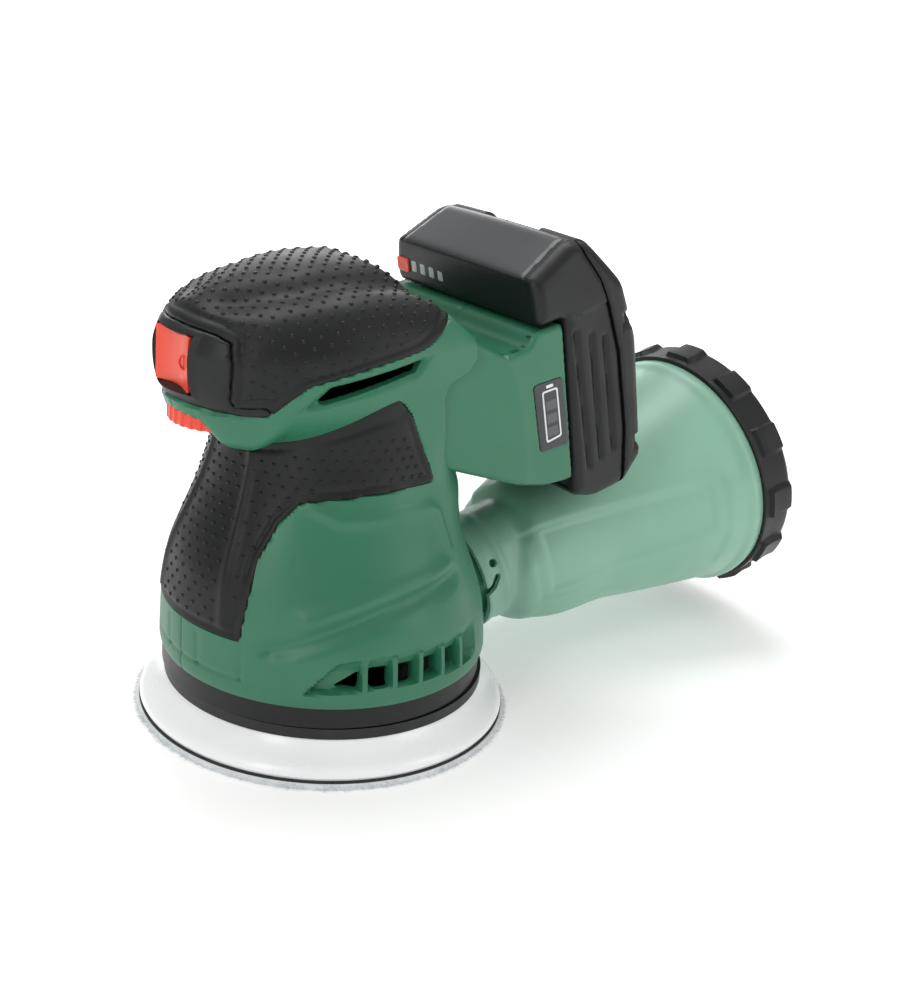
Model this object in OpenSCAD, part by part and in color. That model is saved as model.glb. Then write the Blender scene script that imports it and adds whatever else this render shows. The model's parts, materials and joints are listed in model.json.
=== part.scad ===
// Cordless random orbital sander: pad, orbit drive, brushed motor, clamshell body,
// slide-on battery pack and dust box with a screw cap.
// Origin: centre of the sanding face. +Z is up, the nose points to -X, the battery to +X.

/* [Sanding pad] */
// Diameter of the foam pad at its lower edge
pad_d = 125; // [120:1:127]
// Distance between the motor axis and the pad axis
orbit = 1.2; // [0.8:0.1:1.5]
// Number of dust holes in the pad
dust_holes = 8; // [6:1:10]
// Radius of the circle on which the dust holes lie
dust_hole_circle = 40; // [38:1:42]

/* [Body] */
// Wall thickness of the moulded shells
wall = 2.6; // [2.2:0.1:3]
// Thickness of the soft grips that lie on the shells
grip_t = 1.2; // [1:0.1:1.4]
// Points around each lofted section
section_points = 36; // [24:4:40]

/* [Battery] */
// Forward lean of the battery pack, in degrees from upright
battery_tilt = 13; // [12:0.5:14]
// Width of the pack and of its holder
battery_w = 78; // [76:1:80]
// Diameter of one cell
cell_d = 18; // [17.5:0.1:18.2]

/* [Dust box] */
// Upward tilt of the dust box, in degrees
box_tilt = 13.2; // [12.5:0.1:14]
// Radius of the box at its cap
box_r = 46.2; // [45:0.1:47]
// Depth of the screw cap
cap_depth = 15.5; // [14:0.5:16]
// Number of raised lugs on the cap
cap_lugs = 12; // [8:1:14]

/* [Hidden] */
$fn = 64;
EPS = 0.01;
RUN = 0.05;             // radial running clearance of every shaft
GAP = 0.4;              // clearance between parts that move past each other

// Heights above the sanding face, from the bottom up
fleece_t = 2;
hook_top = 2.8;
foam_top = 13;
plate_top = 16.6;
ring_bottom = plate_top + GAP + 0.2;
skirt_bottom = 24;
weight_bottom = 22.6;
pocket_top = 31.2;
weight_top = 37.5;
fan_floor = 38;
fan_top = 53;
bridge_bottom = 54;
lower_bearing_z = 58;
can_bottom = 66;
can_top = 108;
end_cap_top = 126;
upper_bearing_z = 119;
board_z = 128.4;
rocker_x = -57.5;       // middle of the rocker's face
pin_x = -56.8;          // axis of the rocker's pin
pin_r = 1.2;
dial_x = -43;           // axis of the speed dial
dial_z = 107.4;
dial_h = 8.2;

// Radii
pad_r = pad_d / 2;
plate_r = 54.3;
hub_r = 6;              // stub shaft of the pad, and bore of its bearing
pad_bearing_r = 14;
shaft_r = 4;
neck_shaft_r = 3;
can_r = 20.5;
core_r = 13.8;
commutator_r = 7;
fan_r = 38.5;

// Column sections: height, reach to the front, reach to the rear, half width, squareness of the rear
column_rows = [[24, 55, 55.6, 55, 1], [34, 55, 54.5, 54.6, 1], [44, 55, 52.4, 53.2, 1],
    [52, 54.6, 48.8, 51, 0.98], [60, 53.4, 44.6, 48.2, 0.94], [68, 50.6, 41, 45.4, 0.9],
    [76, 47, 39.4, 42.8, 0.87], [84, 43.6, 38.6, 40.8, 0.84], [89, 41.9, 36, 39.6, 0.8],
    [95, 40.2, 26, 38.7, 0.6], [100, 39.2, 24, 38.2, 0.5], [106, 38.4, 22, 38, 0.42],
    [116, 38, 20, 38, 0.4], [122, 38, 21, 38, 0.4]];
// Head: a rounded body about an upright axis. Plan outline of its widest ring: angle from +X, reach
head_x = -12;
head_plan = [[0, 55], [20, 57.5], [32, 60.5], [37.4, 61], [42.3, 56.6], [50.5, 50.2], [63, 44.2],
    [81, 40.1], [105, 39.3], [128, 42], [146, 45], [158.6, 47.7], [165, 48.9], [172, 50.2], [180, 50.9]];
head_top = 156.6;
head_low = 98;
head_waist = 130.5;     // height of the widest ring
head_up = 1.95;         // exponent of the upper half's profile
head_down = 2.3;        // exponent of the lower half's profile

// Battery frame: a point n millimetres behind and s above the pack's reference point, in X and Z
pack_x = 64;
pack_z = 110;
function pack_point(n, s) = [pack_x + n * cos(battery_tilt) - s * sin(battery_tilt),
    pack_z + n * sin(battery_tilt) + s * cos(battery_tilt)];
pack_front = 4.2;       // front face of the pack's lower part
pack_back = 36;
pack_low = -42;
pack_high = 51;
pack_step = 27;         // height at which the pack's upper part reaches forward
pack_nose = -7;
label_w = 71;           // width of the label panel on the pack's top
holder_back = pack_front - GAP - 0.2;
rail_half = 21.1;       // half width of the rail's flange
rail_neck_half = 17.8;  // half width of the rail behind the flange
rail_low = -19;         // lower end of the rail, above the contacts
slot_low = -28;         // closed lower end of the slot in the holder
contacts_high = -20;
cell_pitch = cell_d + 0.2;
first_cell = -30.3;

// Dust box frame: the origin is on the box axis at its rim, local Z points out through the cap
box_rim = [169.7, 0, 57.2];
neck_lift = 3.5;        // the neck sits this far above the box axis
neck_r = 20;
spigot_r = 17;
neck_end = -115;
shoulder = -90;
filter_r = 25;

screw_spots = [[-34, 78], [33, 63], [27, 99], [31, 127], [50, 93]];
boss_r = 5;

// ---------- shared shapes ----------

function signed_power(v, e) = sign(v) * pow(abs(v), e);
function row_value(rows, at, i) = lookup(at, [for (r = rows) [r[0], r[i]]]);

// Rings of points joined into one closed solid. The first ring is the lower end.
module loft(rings) {
    n = len(rings[0]);
    last = (len(rings) - 1) * n;
    sides = [for (i = [0:len(rings) - 2]) for (k = [0:n - 1])
        let (a = i * n + k, b = i * n + (k + 1) % n) each [[a, a + n, b + n], [a, b + n, b]]];
    polyhedron(points = [for (r = rings) each r],
        faces = concat(sides, [[for (k = [0:n - 1]) k]], [[for (k = [n - 1:-1:0]) last + k]]));
}

// One level section of the column, moved outwards by grow
function column_ring(row, grow) = [for (k = [0:section_points - 1])
    let (t = 360 * k / section_points, rear = cos(t) > 0, e = rear ? row[4] : 1)
    [((rear ? row[2] : row[1]) + grow) * signed_power(cos(t), e),
        (row[3] + grow) * signed_power(sin(t), e), row[0]]];

// The column between two heights, moved outwards by grow
module column(grow, low = 24, high = 122) {
    inner = [for (r = column_rows) if (r[0] > low && r[0] < high) r];
    function at(z) = [z, for (i = [1:4]) row_value(column_rows, z, i)];
    loft([for (r = concat([at(low)], inner, [at(high)])) column_ring(r, grow)]);
}

// One ring of the head at a latitude, moved outwards by grow. No point lies in the joint plane
function head_ring(latitude, grow) = [for (k = [0:section_points - 1])
    let (t = 360 * (k + 0.5) / section_points, side = t > 180 ? 360 - t : t,
        e = 2 / (latitude > 0 ? head_up : head_down),
        rise = latitude > 0 ? head_top - head_waist : head_waist - head_low,
        reach = (lookup(side, head_plan) + grow) * pow(cos(latitude), e))
    [head_x + reach * cos(t), reach * sin(t),
        head_waist + (rise + grow) * signed_power(sin(latitude), e)]];

// The head, from just above its lowest point to just below its crown, moved outwards by grow
module head(grow) {
    loft([for (latitude = [-84, -74, -62, -50, -38, -26, -13, 0, 12, 24, 36, 48, 60, 71, 82])
        head_ring(latitude, grow)]);
}

// The rear block that carries the battery: an outline extruded across the body
module rear_block(inset = 0) {
    outline = [[0, 96 + inset], [20, 92.6 + inset], [48.8, 82.7 + inset],
        pack_point(-9, -28 + inset), pack_point(holder_back - inset, -30 + inset),
        pack_point(holder_back - inset, 26 - inset), pack_point(-9, 26 - inset),
        [38.5, 128.4 - inset], [24, 134 - inset], [0, 127 - inset]];
    half = battery_w / 2 - 0.4 - inset;
    rotate([90, 0, 0]) linear_extrude(2 * half, center = true) polygon(outline);
}

// Things drawn in the battery frame: local X points back, local Z points up along the slide
module in_pack_frame() {
    translate([pack_x, 0, pack_z]) rotate([0, -battery_tilt, 0]) children();
}

// Things drawn along the dust box axis, local Z out through the cap and local X upwards
module in_box_frame() {
    translate(box_rim) rotate([0, 90 - box_tilt, 0]) mirror([1, 0, 0]) children();
}

module tube(r_out, r_in, h) {
    difference() {
        cylinder(h = h, r = r_out);
        translate([0, 0, -EPS]) cylinder(h = h + 2 * EPS, r = r_in);
    }
}

module block(low, high) {
    translate(low) cube(high - low);
}

// A shielded ball bearing: two rings and the shields set back between them
module bearing(r_out, r_in, width) {
    ring = (r_out - r_in) * 0.22;
    tube(r_in + ring, r_in, width);
    tube(r_out, r_out - ring, width);
    translate([0, 0, 0.4]) tube(r_out - ring, r_in + ring, width - 0.8);
}

// ---------- body shells ----------

module body_solid(grow) {
    column(grow, high = 120);
    head(grow);
}

// Five upright slots low on one side of the skirt, between radial ribs
module skirt_slots() {
    for (a = [-118, -107, -96, -85, -74])
        rotate([0, 0, a]) translate([40, -3.6, 31]) cube([20, 7.2, 9.5]);
}

// The slit under the top grip, where cooling air enters
module side_vent() {
    rotate([90, 0, 0]) linear_extrude(20)
        polygon([[-31, 119.8], [-27.5, 122], [3.5, 129], [2.5, 126.2]]);
}

// T-shaped guide that the pack's rail slides down, open at the top
module rail_slot() {
    in_pack_frame() {
        block([-5.4, -rail_half - GAP, slot_low], [-2.1, rail_half + GAP, 40]);
        block([-2.2, -rail_neck_half - GAP, slot_low], [holder_back + 1, rail_neck_half + GAP, 40]);
    }
}

// Collar round the dust outlet, above the lower edge of the skirt
module outlet_collar() {
    intersection() {
        in_box_frame() translate([neck_lift, 0, neck_end - 14]) cylinder(h = 11.6, r = 19.6);
        block([30, -30, skirt_bottom], [70, 30, 70]);
    }
}

module rocker_mouth() {
    block([-70, -10.6, 118.6], [-52, 10.6, 137.6]);
    pin_hole(117.8, 138.8);
}

// Room for the speed dial, open through the nose
module dial_slot() {
    translate([dial_x, 0, dial_z - GAP - 0.2]) cylinder(h = dial_h + 1.2, r = 17.4);
}

// Upright hole for the rocker's pin
module pin_hole(low, high) {
    translate([pin_x, 0, low]) cylinder(h = high - low, r = pin_r);
}

module screw_posts() {
    for (p = screw_spots)
        translate([p[0], 0, p[1]]) rotate([90, 0, 0]) cylinder(h = 90, r = boss_r, center = true);
}

module full_shell() {
    difference() {
        union() {
            body_solid(0);
            rear_block();
            outlet_collar();
        }
        difference() {
            union() {
                body_solid(-wall);
                rear_block(wall);
                translate([0, 0, 20]) cylinder(h = 6, r = 50);
            }
            screw_posts();
            // lugs that hold the rocker's pin
            block([-61, -3.6, 116], [-53.4, 3.6, 143]);
            in_pack_frame() block([-8, -rail_half - 3, -40], [holder_back, rail_half + 3, 30]);
        }
        rail_slot();
        // mouth for the rocker, slot for the dial and hole for the dust outlet
        rocker_mouth();
        dial_slot();
        in_box_frame() translate([neck_lift, 0, -140]) cylinder(h = 60, r = spigot_r);
        skirt_slots();
        mirror([0, 1, 0]) skirt_slots();
        translate([0, -30, 0]) side_vent();
        mirror([0, 1, 0]) translate([0, -30, 0]) side_vent();
    }
}

module housing_left() {
    color([0.20, 0.47, 0.36]) difference() {
        intersection() {
            full_shell();
            block([-80, -60, 20], [90, 0, 170]);
        }
        for (p = screw_spots)
            translate([p[0], EPS, p[1]]) rotate([90, 0, 0]) cylinder(h = 14, r = 1.45);
    }
}

module housing_right() {
    color([0.20, 0.47, 0.36]) difference() {
        intersection() {
            full_shell();
            block([-80, 0, 20], [90, 60, 170]);
        }
        for (p = screw_spots)
            translate([p[0], -EPS, p[1]]) rotate([-90, 0, 0]) {
                cylinder(h = 60, r = 1.8);
                translate([0, 0, 12]) cylinder(h = 60, r = 3.5);
            }
    }
}

// Soft cover of the crown, down to the seam along both sides
module top_grip() {
    seam = [[-49.6, 114.6], [-44, 113.6], [-38, 121], [-33.6, 125.4], [11, 135.8], [14.6, 139.6],
        [15, 144], [26, 149.5], [26, 175], [-75, 175], [-75, 141], [-52.6, 138.6]];
    color([0.13, 0.14, 0.15]) intersection() {
        difference() {
            head(grip_t);
            head(0);
            rear_block();
        }
        rotate([90, 0, 0]) linear_extrude(90, center = true) polygon(seam);
    }
}

// Soft band round the front of the waist and down the front of the skirt
module waist_grip() {
    color([0.13, 0.14, 0.15]) intersection() {
        difference() {
            column(grip_t, 41, 118);
            column(0, 40, 119);
            head(0.3);
            rear_block();
        }
        rotate([90, 0, 0]) linear_extrude(100, center = true)
            polygon([[-70, 42], [-48.6, 42], [-42, 69], [-35.6, 80.5], [-30, 86.4], [-10, 89.4],
                [10.4, 90], [12, 91.6], [2.2, 113.5], [-1, 118], [-70, 118]]);
    }
}

module nose_panel() {
    color([0.10, 0.11, 0.12]) difference() {
        intersection() {
            difference() {
                head(0.9);
                head(0);
            }
            rotate([90, 0, 0]) linear_extrude(70, center = true)
                polygon([[-75, 119], [-61, 118], [-56.8, 115.2], [-50, 114.2], [-53, 138.4], [-75, 140.8]]);
        }
        rocker_mouth();
        dial_slot();
    }
}

// Inset plate low on the front of the skirt
module front_plate() {
    color([0.20, 0.47, 0.36]) intersection() {
        difference() {
            column(0.8, 25, 40.5);
            column(0, 24, 41);
        }
        linear_extrude(60) polygon([[0, 0], [-70, 12], [-70, -36]]);
    }
}

module base_ring() {
    color([0.16, 0.17, 0.18]) translate([0, 0, ring_bottom])
        tube(plate_r - 0.3, plate_r - 4.6, skirt_bottom - ring_bottom);
}

// Rubber lip that rubs lightly on the pad plate, so the pad doesn't spin up in the air
module brake_ring() {
    color([0.08, 0.08, 0.09]) rotate_extrude() polygon([[plate_r - 4.6, skirt_bottom],
        [plate_r - 4.6, ring_bottom], [plate_r - 9, ring_bottom - 0.3],
        [plate_r - 9, ring_bottom + 1.6], [plate_r - 7, skirt_bottom]]);
}

module gauge_label() {
    color([0.05, 0.05, 0.06]) translate([0, -battery_w / 2 + 0.4, 0]) rotate([90, 0, 0])
        linear_extrude(0.4) polygon([[50.6, 117.1], [63.1, 119], [69.3, 95.7], [57.3, 93.2]]);
}

module housing_screws() {
    color([0.6, 0.6, 0.62]) for (p = screw_spots)
        translate([p[0], 0, p[1]]) rotate([-90, 0, 0]) {
            translate([0, 0, -11]) cylinder(h = 23, r = 1.4);
            difference() {
                translate([0, 0, 12]) cylinder(h = 2.6, r = 3);
                translate([0, 0, 13]) cylinder(h = 2, r = 1.4, $fn = 6);
            }
        }
}

// ---------- drive ----------

module fan_housing() {
    color([0.25, 0.26, 0.27]) difference() {
        union() {
            translate([0, 0, fan_floor]) tube(43, 41, bridge_bottom - fan_floor);
            translate([0, 0, fan_floor]) tube(43, 33, 1.4);
        }
        // way out to the dust outlet
        block([30, -9, fan_floor + 1.4], [50, 9, fan_top - 2]);
    }
    difference() {
        block([42, -10.4, fan_floor], [45, 10.4, fan_top - 0.6]);
        block([30, -9, fan_floor + 1.4], [50, 9, fan_top - 2]);
    }
}

// Spigot that the dust box plugs on to
module dust_outlet() {
    color([0.20, 0.47, 0.36]) in_box_frame() translate([neck_lift, 0, neck_end - 3])
        tube(spigot_r, spigot_r - 2.4, 18);
}

module bearing_bridge() {
    color([0.62, 0.63, 0.65]) difference() {
        union() {
            translate([0, 0, bridge_bottom]) cylinder(h = 2.6, r = 41);
            translate([0, 0, bridge_bottom]) cylinder(h = can_bottom - bridge_bottom, r = 14);
        }
        translate([0, 0, bridge_bottom - EPS]) cylinder(h = 20, r = shaft_r + 1.5);
        translate([0, 0, lower_bearing_z]) cylinder(h = 20, r = 11);
        for (a = [45:90:315])
            rotate([0, 0, a]) translate([28, 0, bridge_bottom - EPS]) cylinder(h = 4, r = 8);
    }
}

module lower_bearing() {
    color([0.7, 0.7, 0.72]) translate([0, 0, lower_bearing_z]) bearing(11, shaft_r + RUN, 7);
}

module upper_bearing() {
    color([0.7, 0.7, 0.72]) translate([0, 0, upper_bearing_z]) bearing(7.5, neck_shaft_r + RUN, 5);
}

module motor_can() {
    color([0.55, 0.56, 0.58]) difference() {
        translate([0, 0, can_bottom]) cylinder(h = can_top - can_bottom, r = can_r);
        translate([0, 0, can_bottom + 1.6]) cylinder(h = 60, r = can_r - 2);
        translate([0, 0, can_bottom - EPS]) cylinder(h = 4, r = 6);
        for (a = [0:60:300])
            rotate([0, 0, a]) translate([13, 0, can_bottom - EPS]) cylinder(h = 4, r = 3);
    }
}

module motor_magnets() {
    color([0.2, 0.2, 0.22]) intersection() {
        translate([0, 0, 71]) tube(can_r - 2, core_r + 0.7, 34);
        union() {
            block([-30, 3, 60], [30, 30, 110]);
            block([-30, -30, 60], [30, -3, 110]);
        }
    }
}

module motor_end_cap() {
    color([0.12, 0.12, 0.13]) difference() {
        translate([0, 0, can_top]) cylinder(h = end_cap_top - can_top, r = can_r);
        translate([0, 0, can_top - EPS]) cylinder(h = upper_bearing_z - can_top, r = can_r - 2.2);
        translate([0, 0, upper_bearing_z - EPS]) cylinder(h = 5 + EPS, r = 7.5);
        translate([0, 0, can_top]) cylinder(h = 30, r = neck_shaft_r + 1);
        for (a = [45:90:315])
            rotate([0, 0, a]) translate([13, 0, can_top]) cylinder(h = 30, r = 2.6);
    }
}

module brush_holders() {
    color([0.75, 0.62, 0.3]) for (side = [0, 180]) rotate([0, 0, side])
        difference() {
            block([8.4, -4.2, can_top + 0.4], [17.6, 4.2, can_top + 8.8]);
            block([8, -3.1, can_top + 1.4], [16.6, 3.1, can_top + 7.8]);
        }
}

module carbon_brushes() {
    color([0.16, 0.16, 0.17]) for (side = [0, 180]) rotate([0, 0, side])
        block([commutator_r + 0.15, -3, can_top + 1.5], [13, 3, can_top + 7.7]);
}

module brush_springs() {
    color([0.7, 0.7, 0.72]) for (side = [0, 180]) rotate([0, 0, side])
        translate([13, 0, can_top + 4.6]) rotate([0, 90, 0]) tube(2, 1.4, 3.6);
}

module motor_shaft() {
    color([0.75, 0.75, 0.77]) {
        translate([0, 0, pocket_top + 1.2]) cylinder(h = 74.6 - 1.2, r = shaft_r);
        translate([0, 0, pocket_top + 74.6]) cylinder(h = 18.6, r = neck_shaft_r);
    }
}

// Laminated core with twelve winding slots
module armature_core() {
    color([0.45, 0.46, 0.48]) translate([0, 0, 76]) difference() {
        tube(core_r, shaft_r, 25);
        for (a = [0:30:330])
            rotate([0, 0, a]) block([7.5, -1.1, -1], [15, 1.1, 26]);
    }
}

module armature_windings() {
    color([0.72, 0.38, 0.2]) {
        for (z = [71.4, 101]) translate([0, 0, z]) rotate_extrude()
            polygon([[5.4, 0], [11.6, 0], [12.8, 1.4], [12.8, 3.2], [11.6, 4.6], [5.4, 4.6]]);
        for (a = [0:30:330])
            rotate([0, 0, a]) translate([0, 0, 75.9]) block([8.2, -0.9, 0], [12.6, 0.9, 25.2]);
    }
}

module commutator() {
    color([0.78, 0.45, 0.25]) translate([0, 0, can_top - 1.6]) difference() {
        tube(commutator_r, neck_shaft_r, 10.4);
        for (a = [0:30:330])
            rotate([0, 0, a]) block([commutator_r - 1, -0.25, -1], [8, 0.25, 12]);
    }
}

// Radial fan: a disc with upright blades that throws the dust to the outlet
module cooling_fan() {
    color([0.3, 0.31, 0.33]) difference() {
        union() {
            translate([0, 0, fan_floor + 3]) cylinder(h = 1.6, r = fan_r);
            translate([0, 0, fan_floor + 1]) cylinder(h = 12, r = 9);
            for (a = [0:30:330])
                rotate([0, 0, a]) block([8, -0.8, fan_floor + 4.5], [fan_r - 0.5, 0.8, fan_top - 2]);
        }
        cylinder(h = 80, r = shaft_r);
    }
}

// Eccentric: the pad bearing's pocket is off the motor axis, and a heavy lobe balances it
module eccentric_weight() {
    color([0.5, 0.5, 0.52]) difference() {
        union() {
            translate([0, 0, weight_bottom]) cylinder(h = weight_top - weight_bottom, r = 18.5);
            intersection() {
                translate([0, 0, 30.5]) cylinder(h = weight_top - 30.5, r = 32);
                block([-40, -40, 20], [-2, 40, 40]);
            }
        }
        translate([orbit, 0, weight_bottom - EPS])
            cylinder(h = pocket_top - weight_bottom, r = pad_bearing_r);
        translate([0, 0, pocket_top + 1.2]) cylinder(h = 20, r = shaft_r);
    }
}

module pad_bearing() {
    color([0.7, 0.7, 0.72]) translate([orbit, 0, pocket_top - 8.2])
        bearing(pad_bearing_r, hub_r + RUN, 8);
}

// ---------- sanding pad ----------

module dust_hole_ring(r, low, high) {
    for (i = [0:dust_holes - 1])
        rotate([0, 0, 360 / dust_holes * (i + 0.5)]) translate([dust_hole_circle, 0, low - EPS])
            cylinder(h = high - low + 2 * EPS, r = r);
}

module on_pad_axis() {
    translate([orbit, 0, 0]) children();
}

module backing_plate() {
    color([0.08, 0.08, 0.09]) on_pad_axis() difference() {
        union() {
            translate([0, 0, foam_top]) cylinder(h = plate_top - foam_top, r = plate_r);
            translate([0, 0, foam_top]) cylinder(h = 22.6 - foam_top, r = 9.5);
            translate([0, 0, foam_top]) cylinder(h = pocket_top - 0.8 - foam_top, r = hub_r);
        }
        translate([0, 0, foam_top - EPS]) cylinder(h = 12, r = 2.6);
        translate([0, 0, foam_top - EPS]) cylinder(h = 2.4, r = 6);
        dust_hole_ring(5, foam_top, plate_top);
    }
}

module pad_screw() {
    color([0.65, 0.65, 0.67]) on_pad_axis() difference() {
        union() {
            translate([0, 0, foam_top - 1.2]) cylinder(h = 3.4, r = 5.8);
            translate([0, 0, foam_top]) cylinder(h = 11.4, r = 2.5);
        }
        translate([0, 0, foam_top - 2]) cylinder(h = 3, r = 2.3, $fn = 6);
    }
}

module foam_pad() {
    color([0.93, 0.94, 0.94]) on_pad_axis() difference() {
        translate([0, 0, hook_top])
            cylinder(h = foam_top - hook_top, r1 = pad_r - 0.1, r2 = plate_r);
        translate([0, 0, hook_top - EPS]) cylinder(h = 20, r = 10);
        dust_hole_ring(5, hook_top, foam_top);
    }
}

module hook_layer() {
    color([0.18, 0.18, 0.19]) on_pad_axis() difference() {
        translate([0, 0, fleece_t]) cylinder(h = hook_top - fleece_t, r = pad_r);
        translate([0, 0, fleece_t - EPS]) cylinder(h = 2, r = 10);
        dust_hole_ring(4.5, fleece_t, hook_top);
    }
}

module fleece_disc() {
    color([0.88, 0.89, 0.9]) on_pad_axis() difference() {
        cylinder(h = fleece_t, r = pad_r + 1.2);
        dust_hole_ring(4.5, 0, fleece_t);
    }
}

// ---------- controls ----------

module circuit_board() {
    color([0.1, 0.35, 0.2]) {
        block([-36, -22, board_z], [22, 22, board_z + 1.6]);
        for (p = [[-28, -12], [-28, 8], [-8, 12]])
            translate([p[0], p[1], board_z + 1.6]) cylinder(h = 11, r = 4);
        block([6, -16, board_z + 1.6], [20, -2, board_z + 9]);
        block([4, 4, board_z + 1.6], [18, 16, board_z + 5]);
    }
}

module switch_body() {
    color([0.12, 0.12, 0.13]) block([-52.9, -9.4, 120.6], [-41, 9.4, 135.8]);
}

// Rocker with a valley down the middle; it tilts about an upright pin
module rocker_switch() {
    color([0.93, 0.27, 0.16]) difference() {
        translate([rocker_x, 0, 119.6]) linear_extrude(17.2)
            polygon([[-3.4, 9.6], [-1.2, 0], [-2.6, -9.6], [0.8, -9.6], [3.4, -3], [3.4, 3], [0.4, 9.6]]);
        translate([pin_x, 0, 118]) cylinder(h = 20, r = pin_r + RUN);
    }
}

module rocker_pin() {
    color([0.7, 0.7, 0.72]) translate([pin_x, 0, 118]) cylinder(h = 20.6, r = pin_r);
}

module speed_dial() {
    color([0.93, 0.27, 0.16]) translate([dial_x, 0, dial_z]) difference() {
        linear_extrude(dial_h) polygon([for (i = [0:119]) let (r = i % 4 < 2 ? 16.2 : 15.4)
            [r * cos(3 * i), r * sin(3 * i)]]);
        translate([0, 0, -EPS]) cylinder(h = 20, r = 2.5 + RUN);
        translate([0, 0, 2]) tube(13, 5, 20);
    }
}

module dial_potentiometer() {
    color([0.4, 0.4, 0.42]) {
        translate([dial_x, 0, dial_z - GAP]) cylinder(h = 12, r = 2.5);
        translate([dial_x, 0, dial_z + 11.2]) intersection() {
            cylinder(h = 1.1, r = 6);
            block([-8, -5, -1], [8, 5, 8]);
        }
    }
}

module terminal_block() {
    color([0.15, 0.15, 0.16]) in_pack_frame() block([-5.4, -14, slot_low], [-1.8, 14, contacts_high]);
}

module contact_blades() {
    color([0.8, 0.65, 0.35]) in_pack_frame() for (y = [-10, -3.4, 3.4, 10])
        block([-1.8, y - 0.4, slot_low + 1], [3.6, y + 0.4, contacts_high - 1]);
}

// ---------- battery ----------

// Side outline of the pack in the battery frame, moved inwards by inset
function pack_outline(inset) = [[pack_front + inset, pack_low + 4 + inset],
    [pack_front + 9, pack_low + inset], [pack_back - 10, pack_low + inset],
    [pack_back - inset, pack_low + 9], [pack_back - inset, 12], [31 - inset, 33],
    [19, pack_high - 1.5 - inset], [5, pack_high - inset], [pack_nose + 1 + inset, 44],
    [pack_nose + inset, 36], [pack_nose + inset, pack_step + 1 + inset],
    [pack_front + inset, pack_step + 1 + inset]];

module pack_solid(inset) {
    rotate([90, 0, 0]) linear_extrude(battery_w - 2 * inset, center = true)
        polygon(pack_outline(inset));
}

// The surface where the front and rear cases meet
module behind_seam(shift = 0) {
    rotate([90, 0, 0]) linear_extrude(120, center = true)
        polygon([[21 + shift, 70], [19 + shift, 42], [24 + shift, 26], [28.4 + shift, 0],
            [28.4 + shift, -20], [22 + shift, -44], [22 + shift, -60], [60, -60], [60, 70]]);
}

module pack_rail() {
    block([-2.8, -rail_neck_half, rail_low], [pack_front + 1, rail_neck_half, 20]);
    block([-4.9, -rail_half, rail_low], [-2.7, rail_half, 20]);
}

module battery_front_case() {
    color([0.11, 0.12, 0.13]) in_pack_frame() difference() {
        union() {
            pack_solid(0);
            pack_rail();
        }
        behind_seam();
        pack_solid(2.4);
        block([-1, -12.4, slot_low], [pack_front + 4, 12.4, contacts_high + 0.4]);
        label_panel_solid(0.2, 3);
        level_button_hole();
        release_button_hole();
    }
}

module battery_rear_case() {
    color([0.09, 0.10, 0.11]) in_pack_frame() difference() {
        intersection() {
            pack_solid(0);
            behind_seam();
        }
        pack_solid(2.4);
        release_button_hole();
        for (side = [-1, 1], z = [17, -24])
            translate([pack_back, side * 39, z]) rotate([0, 45, 0]) cube([5, 7, 5], center = true);
    }
}

module label_panel_solid(grow, depth) {
    rotate([90, 0, 0]) linear_extrude(label_w + 2 * grow, center = true)
        polygon([[pack_nose + 4.6 - grow, 46.6], [5, pack_high + 1], [17 + grow, pack_high + 1],
            [17 + grow, pack_high - depth], [5, pack_high - depth], [pack_nose + 4.6 - grow, 43]]);
}

module battery_label_panel() {
    color([0.2, 0.21, 0.22]) in_pack_frame() intersection() {
        label_panel_solid(0, 2);
        pack_solid(0);
    }
}

module battery_cells() {
    color([0.25, 0.4, 0.6]) in_pack_frame() for (i = [0:3])
        translate([19, 0, first_cell + i * cell_pitch]) rotate([90, 0, 0])
            cylinder(h = 65, r = cell_d / 2, center = true);
}

module cell_holder() {
    color([0.85, 0.85, 0.83]) in_pack_frame() for (side = [-1, 1])
        translate([0, side * 25, 0]) difference() {
            rotate([90, 0, 0]) linear_extrude(4, center = true)
                polygon([[9.4, -37], [27.6, -37], [28.6, -35], [28.6, 31.4], [9.4, 31.4]]);
            for (i = [0:3]) translate([19, 0, first_cell + i * cell_pitch]) rotate([90, 0, 0])
                cylinder(h = 10, r = cell_d / 2 + 0.1, center = true);
        }
}

module battery_board() {
    color([0.1, 0.35, 0.2]) in_pack_frame() block([7, -30, -30], [8.4, 30, 26]);
}

module battery_contacts() {
    color([0.8, 0.65, 0.35]) in_pack_frame() for (y = [-10, -3.4, 3.4, 10])
        for (side = [-1, 1]) block([-1, y + side - 0.3, slot_low + 1], [7, y + side + 0.3, contacts_high - 1]);
}

module level_button_hole() {
    block([pack_nose - 1, 29.3, 31.8], [pack_nose + 6, 36.5, 37.4]);
}

module level_button() {
    color([0.93, 0.27, 0.16]) in_pack_frame()
        block([pack_nose - 0.6, 29.5, 32], [pack_nose + 2.2, 36.3, 37.2]);
}

module level_lamps() {
    color([0.72, 0.74, 0.76]) in_pack_frame() for (i = [0:3])
        block([pack_nose - 0.2, 25.4 - i * 4.9, 33], [pack_nose, 28.2 - i * 4.9, 37]);
}

module release_button_hole() {
    block([19.4, -13.2, 30], [29.6, 13.2, 60]);
}

module release_button() {
    color([0.12, 0.12, 0.13]) in_pack_frame() intersection() {
        block([19.8, -12.8, 38], [29.2, 12.8, 60]);
        pack_solid(0.2);
    }
}

module release_spring() {
    color([0.75, 0.75, 0.77]) in_pack_frame() translate([24.4, 0, 33.5]) tube(3, 2.3, 4.5);
}

module battery_screws() {
    color([0.6, 0.6, 0.62]) in_pack_frame() for (y = [-35.2, 35.2], z = [-30, 20])
        translate([7, y, z]) rotate([0, 90, 0]) cylinder(h = 20, r = 1.2);
}

// ---------- dust box ----------

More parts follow.
